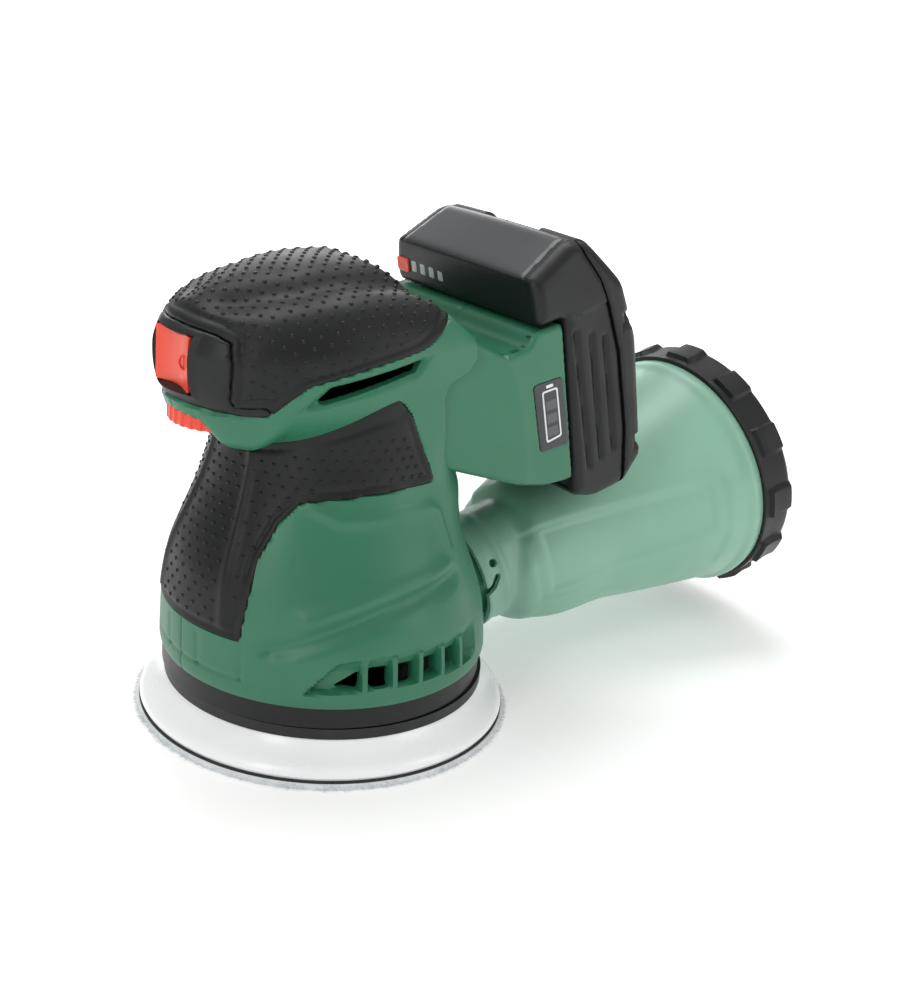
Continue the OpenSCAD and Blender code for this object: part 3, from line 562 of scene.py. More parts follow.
def column_shape(z):
    """Reach to the front and to the rear, half width and the rear's exponent, at a height."""
    return [smooth(COLUMN_ROWS, z, k) for k in (1, 2, 3, 4)]


def column_point(u, v):
    """Half ellipse to the front and half superellipse to the rear at each height v: out by the cosine
    of u, and across by what the superellipse then leaves."""
    angle = np.radians(u)
    front, rear, half, e = column_shape(v)
    c, s = np.cos(angle), np.sin(angle)
    e = np.where(c > 0, e, 1.0)
    across = np.clip(1 - np.abs(c) ** (2 / e), 0, 1) ** (e / 2)
    return np.stack([np.where(c > 0, rear, front) * c, half * np.sign(s) * across, v + 0 * u], -1)


def column_depth(p):
    """About how far inside the column a place is."""
    front, rear, half, e = column_shape(np.clip(p[..., 2], 24, 122))
    back = p[..., 0] > 0
    e = 2 / np.where(back, e, 1.0)
    q = (np.abs(p[..., 0] / np.where(back, rear, front)) ** e + np.abs(p[..., 1] / half) ** e) ** (1 / e)
    return np.minimum((1 - q) * half, 121 - p[..., 2])


# millimetres for a degree round the head and round the column
HEAD_SCALE, COLUMN_SCALE = 0.75, 0.9


def head_chart(p):
    """Distance round the head from the nose, and height."""
    return np.degrees(np.arctan2(np.abs(p[..., 1]), HEAD_X - p[..., 0])) * HEAD_SCALE, p[..., 2]


def column_chart(p):
    """Distance round the column from the front, and height."""
    return np.degrees(np.arctan2(np.abs(p[..., 1]), -p[..., 0])) * COLUMN_SCALE, p[..., 2]


def chart(points, scale):
    """An outline given as degrees from the front and height, in the chart's millimetres."""
    return np.array([[a * scale, z] for a, z in points])


CROWN = chart([(-25, 116), (0, 115.9), (2, 115.8), (11.8, 115), (19.6, 114.4), (30, 114), (39.4, 114.4),
               (42.7, 115.6), (50.5, 120.9), (57.9, 125.2), (65.9, 126.8), (83.3, 129.7), (109, 133.4),
               (121.3, 136.1), (135, 137.5), (200, 135), (200, 220), (-25, 220)], HEAD_SCALE)
NOSE = chart([(-25, 141), (0.9, 139.9), (11.4, 139.3), (19.9, 138.6), (26.4, 137), (28.1, 131.3),
              (27.9, 125.5), (26.8, 119.3), (28.1, 117), (35.4, 117.4), (40.3, 117.9), (42.7, 115.6),
              (39.4, 114.4), (30, 114), (19.6, 114.4), (11.8, 115), (0, 115.9), (-25, 116)], HEAD_SCALE)
WAIST = chart([(-25, 42.3), (27.1, 42.3), (28.9, 57.3), (29.7, 69.2), (34.6, 79.8), (41.6, 86),
               (49.8, 87.2), (76.2, 89.3), (105, 90), (108.2, 91.4), (93.3, 113.5), (88.5, 117.1),
               (82, 122), (-25, 122)], COLUMN_SCALE)
VENT = chart([(48.9, 28.7), (60.4, 40), (82.8, 41.9), (106, 42.9), (121.2, 41.6), (121.3, 31.4),
              (117.9, 29.2), (74, 30.6), (55.3, 29.1)], COLUMN_SCALE)
VENT_RIBS = (69.5, 80.0, 90.0, 100.0, 110.5)
SLOTS_LOW = [[(57.5, 30.6), (68.0, 30.4), (68.0, 36.6)]] + [
    [(a, 30.6), (b, 30.6), (b, 37.2), (a, 37.2)]
    for a, b in ((71, 78.5), (81.5, 88.5), (91.5, 98.5), (101.5, 109), (112, 117.5))]
SLOTS_LOW = [rounded(chart(s, COLUMN_SCALE), 1.2, 0.7) for s in SLOTS_LOW]
SCOOP = np.array([(-36.6, 116.0), (-33, 121.5), (-28.6, 126.2), (3, 132.6), (8.6, 133.4), (3.6, 126.8),
                  (1, 124.6), (-35.6, 115.6)])
SLIT = rounded([(-31, 119.4), (-27.2, 125), (4.2, 131.4), (1.6, 127), (-29, 118.7)], 1.0, 0.8)
FIN = np.array([(24.7, 136), (25.4, 129.1), (22.8, 125.1), (16.2, 122.1), (14.5, 116.8), (16.2, 107.2),
                (19.6, 93.2)])
CREASE = np.array([(38.5, 127.9), (42.3, 119.9), (46.6, 109.7), (48.7, 99.6), (51.6, 84.5)])
BEHIND = np.concatenate([[(38.5, 126.6), (48, 127.4), (90, 127.4), (90, 84.8), (48.8, 84.8)], FIN[::-1]])
RIDGE = np.array([(-33.7, 52.9), (-24.9, 56), (-13.1, 59.5), (0.6, 61.5), (16.7, 62.6)])
VALLEY = np.array([(-43.2, 41.8), (-35.4, 45.5), (-25.6, 50), (-14, 53.7), (-0.2, 56.8), (17.3, 59.8)])
PANEL_EDGE = np.array([(-30, 86.5), (-21.2, 81.9), (-10, 82.1), (9.6, 82.7), (12.9, 81), (17.5, 67.2)])


def pack_place(n, s):
    """X and Z of a point n behind and s above the pack's reference point."""
    q = PACK_ZERO + n * PACK_BACK + s * PACK_UP
    return q[0], q[2]


def pack_outline(points, radius, step):
    """A rounded outline on the model's X and Z, from points given in the pack's frame."""
    return rounded([pack_place(n, s) for n, s in points], radius, step)


BLOCK = np.array([(18.2, 92.4), (14.4, 107), (12.8, 116.8), (14.6, 123.2), (21.4, 126.4), (23, 130),
                  (24, 135), (38.5, 127.9), (47.4, 129.8), (48.9, 134.6), pack_place(3.4, 27),
                  pack_place(3.4, -30.4), (61.6, 80.5), (48.8, 82.7)])


def crown_whole(p):
    """Inside of the border that holds both the top grip and the nose panel."""
    a, z = head_chart(p)
    rear = 30 - 16 * (p[..., 1] / 38) ** 2 - p[..., 0]
    return soft_min(inside(CROWN, a, z), rear, 9.0)


def crown_field(p):
    """Inside of the top grip's border, short of its curved rear edge and outside the nose panel."""
    return np.minimum(crown_whole(p), -nose_field(p))


def nose_field(p):
    """Inside of the nose panel's border."""
    return inside(NOSE, *head_chart(p))


def waist_field(p):
    """Inside of the waist grip's border."""
    return inside(WAIST, *column_chart(p))


def dial_room(p):
    """Distance outside the slot that the dial turns in, under its lip."""
    lip = np.interp(p[..., 0], [-60, -59, -53.3, -51.4, -48], [114, 113.2, 109.3, 106.8, 104])
    r = np.hypot(p[..., 0] - DIAL[0], p[..., 1]) - 17.2
    return np.maximum(r, np.maximum(p[..., 2] - lip, 104 - p[..., 2]))


def rocker_room(p, more=0.0):
    """Distance outside the rocker's window, or outside a window that is wider by more all round."""
    gap = np.maximum(np.abs(p[..., 1]) - 10.2 - more, np.abs(p[..., 2] - 128.1) - 8.8 - more)
    return np.where(p[..., 0] < -40, gap, FAR_INSIDE)


def seam_groove(p):
    """A fine V along the joint plane."""
    return -0.4 * np.clip(1 - np.abs(p[..., 1]) / 0.5, 0, 1)


def rolled(d, r):
    """How far a quarter-round edge of radius r falls, d inside it."""
    t = np.clip(1 - d / r, 0, 1)
    return -r * (1 - np.sqrt(1 - t * t * 0.96))


def side_angles(size, extra=()):
    """Directions for one half, from the nose round by -Y to the rear, finer beside the joint plane."""
    return steps(-180, 0, size, [-179.55, -179.0, -0.55, -1.1] + list(extra))


def housing_half(s):
    """The left half: head, column and rear block, each trimmed where it enters another."""
    def head_keep(p):
        x, z = p[..., 0], p[..., 2]
        f = np.minimum(-inside(BEHIND, x, z), 0.6 - column_depth(p))
        f = np.minimum(f, dial_room(p))
        return np.minimum(np.minimum(f, rocker_room(p, 1.4)), -inside(SLIT, x, z))

    def head_lift(p, d):
        x, z = p[..., 0], p[..., 2]
        under = crown_whole(p)
        scoop = inside(SCOOP, x, z)
        lip = (1.4 * bump(z - 112.5, 4.5) * ease(-x, 44, 54)
               + 4.4 * bump(z - 107, 4.5) * ease(np.abs(p[..., 1]), 8, 13) * ease(-x, 34, 42))
        recess = 2.0 * ease(under, 0.4, 1.0) + 2.0 * ease(under, 2, 5)
        slot_edge = rolled(np.where(dial_room(p) < 3, dial_room(p), FAR_INSIDE), 1.0) * 0.6
        return lip - recess - 2.3 * ease(scoop, 0, 3.2) + seam_groove(p) + slot_edge

    head_part = patch(head_point, side_angles(1.25),
                      steps(-80, 89.3, 1.45), head_keep, head_lift, s.wall * 1000, HEAD_CORE, True)

    def column_keep(p):
        a, z = column_chart(p)
        x = p[..., 0]
        f = np.minimum(0.4 - head_depth(p), -inside(BEHIND, x, z))
        f = np.where(z > 60, f, FAR_INSIDE)
        for slot_outline in SLOTS_LOW:
            f = np.minimum(f, -inside(slot_outline, a, z))
        return np.minimum(f, spigot_room(p))

    def column_lift(p, d):
        a, z = column_chart(p)
        x = p[..., 0]
        left = ease(waist_field(p), 0.4, 1.0)
        vent = inside(VENT, a, z)
        rib = np.min([np.abs(a - r * COLUMN_SCALE) for r in VENT_RIBS], axis=0)
        rib_mask = np.where(z < 40.5, ease(rib, 0.75, 1.15), 1)
        sunk = ease(vent, 0, 0.9) * (0.5 + 2.6 * ease(41.5 - z, 0, 6)) * rib_mask
        side = ease(np.abs(p[..., 1]), 24, 34) * ease(26 - x, 0, 12)
        relief = 1.7 * bump(off_line(RIDGE, x, z), 3.0) - 2.1 * bump(off_line(VALLEY, x, z), 3.0)
        panel = 0.9 * bump(off_line(PANEL_EDGE, x, z), 1.6) * ease(np.abs(p[..., 1]), 26, 34)
        turn = a / COLUMN_SCALE
        plate = np.minimum(np.abs(turn - 27.5), np.abs(turn - 9.0))
        lines = np.where((z > 29.5) & (z < 41) & (np.abs(p[..., 1]) < 30), bump(plate, 0.8), 0)
        level = np.where(turn < 27.5, bump(z - 30.2, 0.7), 0)
        foot = -0.8 * bump(z - 24, 1.2)
        return (-2.0 * left - sunk + relief * side * (1 - left) + panel * (1 - left) - 0.45 * (lines + level)
                + foot + seam_groove(p))

    rib_edges = [-(180 - r) + k for r in VENT_RIBS for k in (-1.3, -0.8, 0.8, 1.3)]
    column_part = patch(column_point, side_angles(1.1, rib_edges),
                        np.concatenate([np.arange(24, 44, 0.75), np.arange(44, 122.1, 1.1)]),
                        column_keep, column_lift, s.wall * 1000, COLUMN_CORE)

    outline = rounded(BLOCK, 2.2, 1.2)

    def half_width(x, z):
        near, far = np.concatenate([FIN, [(21, 60)]]), np.concatenate([CREASE, [(55, 60)]])
        behind, ahead = off_line(near, x, z), off_line(far, x, z)
        within = inside(np.concatenate([near, far[::-1]]), x, z) > 0
        left_of = x < np.interp(z, far[::-1, 1], far[::-1, 0])
        flat = 38.5 + 0.3 * bump(ahead, 2.5)
        return np.where(within, 35.8 + 3.0 * behind / (behind + ahead + 1e-6), np.where(left_of, 35.8, flat))

    def block_point(u, v):
        return np.stack([u, 0 * u - 38.6, v], -1)

    def block_lift(p, d):
        x, z = p[..., 0], p[..., 2]
        label = inside(GAUGE, x, z)
        return (half_width(x, z) - 38.6 + rolled(np.maximum(d, 0), 2.0)
                - 0.55 * ease(label, -0.5, 0.3))

    block_side = patch(block_point, steps(12, 79, 0.8), steps(79, 140, 0.8),
                       lambda p: inside(outline, p[..., 0], p[..., 2]), block_lift, s.wall * 1000, BLOCK_CORE)
    edge = half_width(outline[:, 0], outline[:, 1]) - 1.6
    ring = np.concatenate([outline, outline[:1]])
    reach = np.concatenate([edge, edge[:1]])

    def band_point(u, v):
        k = np.arange(len(ring))
        x, z = np.interp(u, k, ring[:, 0]), np.interp(u, k, ring[:, 1])
        return np.stack([x, -np.interp(u, k, reach) * v, z], -1)

    block_band = patch(band_point, np.arange(len(ring)), np.linspace(0, 1, 22), None,
                       lambda p, d: seam_groove(p), s.wall * 1000, BLOCK_CORE)
    return [head_part, column_part, block_side, block_band]


def spigot_room(p):
    """Distance outside the hole at the back of the skirt where the dust leaves."""
    q = p - (BOX_RIM + 3.5 * BOX_UP)
    r = np.sqrt(np.maximum((q ** 2).sum(-1) - (q @ BOX_OUT) ** 2, 0))
    return np.where(p[..., 0] > 20, r - 17.2, FAR_INSIDE)


def place_pack(n, y, s):
    """A point of the pack's frame in the model's frame."""
    n, y, s = np.broadcast_arrays(n, y, s)
    return (PACK_ZERO + n[..., None] * PACK_BACK + y[..., None] * SIDE + s[..., None] * PACK_UP)


def pack_coords(p):
    """N and S of points in the pack's frame."""
    q = p - PACK_ZERO
    return q @ PACK_BACK, q @ PACK_UP


PACK_CORE = place_pack(16.0, 0.0, 0.0)
CATCH_HALF = 12.3
GAUGE = pack_outline([(-11.5, 9.8), (0.9, 9), (2, -15.8), (-10.5, -14.7)], 1.2, 0.8)
PACK_OUTLINE = rounded([(4.2, -38), (13.2, -42), (26, -42), (36, -33), (36, 12), (31, 33), (19.5, 49.2),
                        (12, 51), (-6.4, 44), (-7, 42.6), (-7, 28), (4.2, 28)], 2.4, 0.9)
SEAM = np.array([(15.2, 60), (16.2, 46.2), (20.7, 36.9), (23.6, 26.6), (27, 9), (28.1, -20.3), (26.2, -39.9),
                 (22, -46), (21, -60)])
REAR_SIDE = np.concatenate([SEAM, [(60, -60), (60, 60)]])
GROOVES = [np.array(g) for g in ([(8.5, 22.1), (9.6, 0), (11.1, -28.6)],
                                 [(15.2, 18.8), (15.8, 0), (16.6, -27.1)],
                                 [(21.1, 16.2), (21.9, 0), (22.7, -25.7)])]
NOTCHES = [[(28.6, 15.5), (34.5, 15.5), (34.5, 22.5), (28.6, 22.5)],
           [(31.6, -29.5), (37, -29.5), (37, -24), (31.6, -24)]]


# ---------- pieces ----------


def build_housing(s):
    """Both moulded halves, the front plate's lines, the vents and the rear block."""
    left = housing_half(s)
    piece("housing_left_moulding", left, "green_shell", "housing", ["housing_left", "front_plate"])
    piece("housing_right_moulding", [mirrored(h) for h in left], "green_shell", "housing", ["housing_right"])


def both_sides(shell):
    return [shell, mirrored(shell)]


def outward(depth, points, step=0.4):
    """Unit normals at points on a surface, from the slope of the depth inside it."""
    grad = np.stack([depth(points + step * e) - depth(points - step * e) for e in np.eye(3)], -1)
    return -grad / np.linalg.norm(grad, axis=-1, keepdims=True)


def dots_on(depth, points, field, margin, height, s):
    """Bumps at those points of a surface that lie well inside a field, seated at a height above it."""
    good = field(points) > margin
    p, rise = points[good], np.broadcast_to(height, len(points))[good]
    normal = outward(depth, p)
    return domes(p + normal * rise[:, None], normal, s.dot_radius * 1000, s.dot_height * 1000)


def grip_bead(d, t):
    """A soft edge: the sheet falls by a quarter round, with a fine groove just inside."""
    return t + rolled(d, 1.1) - 0.5 * bump(d - 2.9, 0.75)


def build_grips(s):
    """Soft top and waist grips with rolled, grooved edges and staggered dots, and the smooth nose."""
    t = s.grip * 1000

    def crown_lift(p, d):
        y = np.abs(p[..., 1])
        hollow = off_line(np.array([(-52, 9), (-30, 19.5), (20, 24), (34, 26)]), p[..., 0], y)
        return (grip_bead(d, t) - 2.4 * bump(hollow, 5.5) * ease(p[..., 2], 136, 145) * ease(d, 3, 9)
                + 0.5 * bump(hollow - 12, 7) * ease(y, 20, 27) * ease(d, 2, 8))

    top = patch(head_point, side_angles(0.92), steps(-50, 89.3, 0.92), crown_field,
                crown_lift, 1.0, HEAD_CORE, True)
    piece("top_grip_cover", both_sides(top), "soft_grip", "housing", ["top_grip"])

    def waist_lift(p, d):
        a, z = column_chart(p)
        face = 0.9 * bump(a / COLUMN_SCALE - 19 + (z - 60) * 0.08, 2.2)
        return grip_bead(d, t) + face * ease(d, 2, 4)

    waist = patch(column_point, steps(-180, -60, 0.75, [-179.6]), steps(41, 120, 0.75),
                  lambda p: np.minimum(waist_field(p), 1.0 - head_depth(p)), waist_lift, 1.0, COLUMN_CORE)
    piece("waist_grip_cover", both_sides(waist), "soft_grip", "housing", ["waist_grip"])

    nose = patch(head_point, steps(-180, -128, 0.9, [-179.5]), steps(-60, 30, 1.0),
                 lambda p: np.minimum(np.minimum(nose_field(p), rocker_room(p)), dial_room(p) - 0.5),
                 lambda p, d: 0.1 + rolled(np.minimum(nose_field(p), 9), 1.2) + 0.5 * bump(
                     np.where(rocker_room(p) < 4, rocker_room(p), 9), 1.2), 3.2, HEAD_CORE)
    piece("nose_panel_cover", both_sides(nose), "black_panel", "housing", ["nose_panel"])

    # staggered rows: even steps along X and in roll about a lengthwise axis for the crown
    row, col = np.meshgrid(np.arange(-34, 35), np.arange(-16, 17), indexing="ij")
    roll = np.radians(row * s.dot_row * 1000 * 1.16)
    x = (col + 0.5 * (row % 2)) * s.dot_pitch * 1000 - 10
    aim = np.stack([0 * x, np.sin(roll), np.cos(roll)], -1)
    start = np.stack([x, 0 * x, 0 * x + 112], -1)
    low, high = np.zeros(x.shape), np.full(x.shape, 70.0)
    for _ in range(24):
        mid = (low + high) / 2
        within = head_depth(start + mid[..., None] * aim) > 0
        low, high = np.where(within, mid, low), np.where(within, high, mid)
    p = (start + low[..., None] * aim).reshape(-1, 3)
    p = p[np.abs(p[:, 0] - HEAD_X) < 54]
    top_dots = dots_on(head_depth, p, crown_field, 3.4, crown_lift(p, crown_field(p)), s)
    piece("top_grip_dots", [top_dots], "soft_grip", "housing", sharp=80)

    row, col = np.meshgrid(np.arange(0, 30), np.arange(-22, 23), indexing="ij")
    z = 44 + row * s.dot_row * 1000
    u = 180 + (col + 0.5 * (row % 2)) * s.dot_pitch * 1000 * 1.25
    p = column_point(u.astype(float), z.astype(float)).reshape(-1, 3)
    waist_dots = dots_on(column_depth, p, lambda q: np.minimum(waist_field(q), -1 - head_depth(q)), 3.6, t, s)
    piece("waist_grip_dots", [waist_dots], "soft_grip", "housing", sharp=80)


def build_controls():
    """Rocker with two convex wings and a valley, knurled dial, both in orange acetal."""
    x0 = spot("rocker_tilt")[0]
    half = 9.7
    y = np.linspace(-half, half, 49)
    wing = np.abs(y) / half
    front = -1.1 - 1.6 * wing ** 1.2 + 0.4 * np.sin(np.pi * wing)
    outline = rounded(np.concatenate([np.stack([front - 0.6, y], 1), [(1.9, 8.2), (1.9, -8.2)]]), 0.5, 0.6)
    mid = np.array([0.6, 0.0])
    heights = (119.7, 119.8, 120.1, 120.6, 135.8, 136.2, 136.5, 136.6)
    inset = (1.2, 0.4, 0.1, 0, 0, 0.1, 0.4, 1.2)
    reach = np.linalg.norm(outline - mid, axis=1, keepdims=True)
    rings = [np.column_stack([mid + (outline - mid) * (1 - i / reach), np.full(len(outline), z)])
             + [x0 - 0.2, 0, 0] for i, z in zip(inset, heights)]
    cap = stacked(rings, (mid[0] + x0 - 0.2, 0, heights[-1]), (mid[0] + x0 - 0.2, 0, heights[0]), (0, 0, 1))
    # a plain ring mark stands on one wing
    mark = turned([(1.9, -0.35), (2.4, -0.35), (2.4, 0.25), (2.15, 0.4), (1.9, 0.25)], 28,
                  (x0 - 2.25, -5.6, 128), np.array([-0.97, -0.24, 0.0]), np.array([0, 0, 1.0]))
    piece("rocker_cap", [cap, mark], "orange_button", "rocker", ["rocker_switch"])

    low, high = node_box("speed_dial")
    h0, h1 = low[2] - DIAL[2], high[2] - DIAL[2]
    r = (high[1] - low[1]) / 2
    prof = [(2.6, h0), (r - 0.9, h0), (r - 0.3, h0 + 0.25), (r, h0 + 0.9), (r, 0), (r, h1 - 0.9),
            (r - 0.3, h1 - 0.25), (r - 0.9, h1), (13, h1), (12.6, h1 - 0.3), (12.6, h0 + 2.4),
            (5.4, h0 + 2.4), (5, h0 + 2.8), (5, h1 - 0.3), (4.7, h1), (2.6, h1)]

    def knurl(a, prof):
        rim = (prof[:, 0] > r - 1).astype(float)[None, :]
        return -0.55 * rim * (0.5 - 0.5 * np.tanh(3.2 * np.cos(30 * a)))

    dial = turned(prof, 360, DIAL, np.array([0, 0, 1.0]), np.array([1.0, 0, 0]), knurl)
    piece("speed_dial_wheel", [dial], "orange_button", "dial", ["speed_dial"], sharp=45)


def pack_lean(q):
    """How far the pack's flanks lean in at a height in its frame."""
    return np.clip(q - 28, 0, 30) ** 2 / 130


def case_half(rear):
    """One side of the pack's front or rear case, and the band across its edge, up to the seam."""
    def field(p):
        n, q = pack_coords(p)
        seam = inside(REAR_SIDE, n, q)
        return np.minimum(inside(PACK_OUTLINE, n, q), (seam if rear else -seam) - 0.16)

    def flank(p, d):
        n, q = pack_coords(p)
        fall = rolled(np.maximum(inside(PACK_OUTLINE, n, q), 0), 4.2)
        lean = -pack_lean(q)
        grooves = sum(-1.1 * bump(off_line(g, n, q), 0.95) for g in GROOVES)
        step = -0.7 * ease(27.6 - q + 0.05 * n, 0, 0.9)
        notch = sum(-2.6 * ease(inside(np.array(k), n, q), -0.2, 0.9) for k in NOTCHES)
        edge = rolled(np.clip(np.abs(inside(REAR_SIDE, n, q)) - 0.1, 0, 5), 0.7)
        return fall + (grooves + step + lean if not rear else 0.35 + lean + notch) + edge

    side = patch(lambda u, v: place_pack(u, -39.0 + 0 * u, v), steps(-8, 38, 0.8), steps(-43, 52, 0.8),
                 field, flank, 2.2, PACK_CORE)
    ring = np.concatenate([PACK_OUTLINE, PACK_OUTLINE[:1]])
    k = np.arange(len(ring))

    def band_point(u, v):
        n, q = np.interp(u, k, ring[:, 0]), np.interp(u, k, ring[:, 1])
        return place_pack(n, -(34.8 - pack_lean(q)) * v, q)

    def band_field(p):
        n, q = pack_coords(p)
        seam = inside(REAR_SIDE, n, q)
        if not rear:
            return -seam - 0.16
        # the release button drops through an opening in the recess
        opening = np.maximum(np.abs(p[..., 1]) - CATCH_HALF - 0.6, np.maximum(19.0 - n, n - 30.4))
        return np.minimum(seam - 0.16, np.where(q > 30, opening, FAR_INSIDE))

    def band_lift(p, d):
        n, q = pack_coords(p)
        y = np.abs(p[..., 1])
        arch = 0.5 * (1 - (y / 35) ** 2) * ease(q, 30, 42)
        grip_ribs = -0.5 * bump((q + 6) % 6 - 3, 0.8) * ease(n, 34, 35.5) * ease(26 - y, 0, 1) if rear else 0
        recess = -3.2 * ease(14.2 - y, 0, 1.4) * ease(q, 33.5, 36) if rear else 0
        return (0.35 if rear else 0) + arch + grip_ribs + recess + rolled(np.clip(d, 0, 5), 0.7)

    band = patch(band_point, np.arange(len(ring)), np.linspace(0, 1, 34), band_field, band_lift, 2.2,
                 PACK_CORE)
    return [side, band]


def build_pack():
    """Front and rear cases, label panel, lamps, buttons and the blank gauge label."""
    front, rear = case_half(False), case_half(True)
    rail_low, rail_high = -19.0, 20.0
    rail = []
    for n0, n1, half in ((-4.9, -2.7, 21.1), (-2.8, 5.0, 17.8)):
        box_line = rounded([(-half, rail_low), (half, rail_low), (half, rail_high), (-half, rail_high)],
                           0.8, 1.5)
        rail.append(tablet(box_line, PACK_ZERO, SIDE, PACK_UP, -PACK_BACK, -n1, -n0, 0.4))
    piece("pack_front_case", sum((both_sides(f) for f in front), []) + rail, "black_panel", "battery",
          ["battery_front_case"])
    piece("pack_rear_case", sum((both_sides(f) for f in rear), []), "black_panel", "battery",
          ["battery_rear_case"])

    ring = PACK_OUTLINE
    top = ring[(ring[:, 1] > 42.6) & (ring[:, 0] < 15.2)]
    top = top[np.argsort(top[:, 0])]
    k = np.arange(len(top))

    def panel_point(u, v):
        n, q = np.interp(u, k, top[:, 0]), np.interp(u, k, top[:, 1])
        return place_pack(n, v, q)

    def panel_field(p):
        n, q = pack_coords(p)
        y = np.abs(p[..., 1])
        half = 33.6 - pack_lean(q)
        corner = (half + 1.8 - y + n + 7.0) * 0.7
        return np.minimum(np.minimum(half - y, corner), np.minimum(13.6 - n, q - 43.2))

    panel = patch(panel_point, np.linspace(0, len(top) - 1, 46), steps(-34, 34, 0.9), panel_field,
                  lambda p, d: 0.5 * (1 - (p[..., 1] / 35) ** 2) + 0.5 + rolled(d, 0.5), 0.7,
                  PACK_CORE)
    piece("pack_label_panel", [panel], "dark_label", "battery", ["battery_label_panel"])

    def window(y0, y1, s0, s1, r):
        return rounded([(y0, s0), (y1, s0), (y1, s1), (y0, s1)], r, 0.35)

    lamps = [tablet(window(25.4 - i * 4.9, 28.2 - i * 4.9, 33, 37, 0.7), PACK_ZERO, SIDE, PACK_UP,
                    -PACK_BACK, 6.2, 7.25, 0.25) for i in range(4)]
    piece("pack_level_lamps", lamps, "grey_lamp", "battery", ["level_lamps"])
    low, high = node_box("level_button")
    near = low[1] if abs(low[1]) < abs(high[1]) else high[1]
    far = low[1] if abs(low[1]) > abs(high[1]) else high[1]
    button = tablet(window(min(near, far), max(near, far), 32.0, 37.2, 1.2), PACK_ZERO, SIDE, PACK_UP,
                    -PACK_BACK, 4.8, 7.6, 0.5, 0.25)
    piece("level_button_cap", [button], "orange_button", "level_button", ["level_button"])

    seat = [p for p in PACK_OUTLINE if 19.8 < p[0] < 29.2 and p[1] > 30]
    seat = np.array(sorted(seat, key=lambda q: q[0]))
    kk = np.arange(len(seat))

    def catch_lift(p, d):
        n = pack_coords(p)[0]
        ribs = 0.4 * np.sin(n * 3.1) * ease(d, 1, 2)
        return -1.6 + ribs + 1.9 * bump(np.hypot(n - 26.6, p[..., 1]), 3.0) + rolled(d, 0.8)

    catch = patch(lambda u, v: place_pack(np.interp(u, kk, seat[:, 0]), v, np.interp(u, kk, seat[:, 1])),
                  np.linspace(0, len(seat) - 1, 24), steps(-12.6, 12.6, 0.7),
                  lambda p: CATCH_HALF - np.abs(p[..., 1]), catch_lift, 1.4, PACK_CORE)
    piece("release_button_pad", [catch], "black_panel", "release_button", ["release_button"])

    # gauge label: a dark satin plate with a plain cell symbol and three level bars
    def on_flank(line, low, high, edge):
        return tablet(line, (0, 0, 0), np.array([1.0, 0, 0]), np.array([0, 0, 1.0]), -SIDE, low, high, edge)

    face = 38.55
    piece("gauge_label_plate", [on_flank(GAUGE, 37.4, face, 0.2)], "dark_label", "housing", ["gauge_label"])
    frame_out = pack_outline([(-8.2, 6.6), (-1.4, 6.2), (-0.9, -11.9), (-7.7, -12.3)], 0.9, 0.5)
    frame_in = pack_outline([(-7.6, 5.9), (-2.0, 5.6), (-1.5, -11.2), (-7.1, -11.6)], 0.5, 0.5)
    outline = patch(lambda u, v: np.stack([u, 0 * u - face, v], -1),
                    steps(50, 70, 0.25), steps(93, 119, 0.25),
                    lambda p: np.minimum(inside(frame_out, p[..., 0], p[..., 2]),
                                         -inside(frame_in, p[..., 0], p[..., 2])),
                    lambda p, d: 0.05 + 0 * d, 0.06, (60, 0, 105))
    knob = on_flank(pack_outline([(-6.3, 8.3), (-3.3, 8.1), (-3.2, 7.0), (-6.3, 7.2)], 0.3, 0.3),
                    38.5, 38.62, 0.02)
    piece("gauge_symbol", [outline, knob], "print", "housing")
    bars = [on_flank(pack_outline([(-6.9, b + 3.6), (-2.4, b + 3.4), (-2.2, b), (-6.8, b + 0.2)], 0.3, 0.4),
                     38.5, 38.6, 0.02) for b in (-10.6, -5.8, -1.0)]
    piece("gauge_bars", bars, "print_grey", "housing")


BOX_ROWS = np.array([[-116, 20, 23.5, 16.5, 1], [-95, 20, 23.5, 16.5, 1], [-91, 19.9, 23.5, 16.6, 1],
                     [-87, 22.8, 25.8, 19.8, 0.84], [-80, 25.4, 27.5, 22, 0.78], [-60, 31.4, 31, 28.4, 0.82],
                     [-40, 36.8, 36.4, 34.2, 0.88], [-20, 41.6, 41.6, 39.8, 0.94], [-8, 44.6, 44.6, 43.6, 1],
                     [0, 46.2, 46.2, 46.2, 1], [4, 46.2, 46.2, 46.2, 1]])
BOX_PANEL = np.array([(-90, 48), (-65.3, 57), (-20.7, 68), (-19, 72), (-19, 95), (-49, 98), (-78.3, 100),
                      (-90, 101)]) * [1, 0.62]
BOX_PANEL_OUT = np.array([(-96, 40), (-73.5, 49), (-44.9, 58), (-14.3, 65), (-13, 70), (-13, 100), (-17, 122),
                          (-48.4, 108), (-96, 108)]) * [1, 0.62]


def box_point(u, v):
    """Superellipse section at each distance v from the rim: u is degrees from the top; the shoulder
    leans back below, so lower places read an earlier row."""
    a = np.radians(u)
    turn = ease(np.abs(((u + 180) % 360) - 180), 10, 115)
    at = v + 13 * turn * ease(-v, 58, 88) * ease(v + 116, 0, 8)
    half, up, down, e = [smooth(BOX_ROWS, at, k) for k in (1, 2, 3, 4)]
    c, s = np.cos(a), np.sin(a)
    rise = np.where(c > 0, up, down) * signed_power(c, e)
    out = half * signed_power(s, e)
    return BOX_RIM + v[..., None] * BOX_OUT + rise[..., None] * BOX_UP - out[..., None] * SIDE


def box_coords(p):
    """Distance from the rim and degrees from the top of points on the box."""
    q = p - BOX_RIM
    return q @ BOX_OUT, np.degrees(np.arctan2(np.abs(q[..., 1]), q @ BOX_UP))


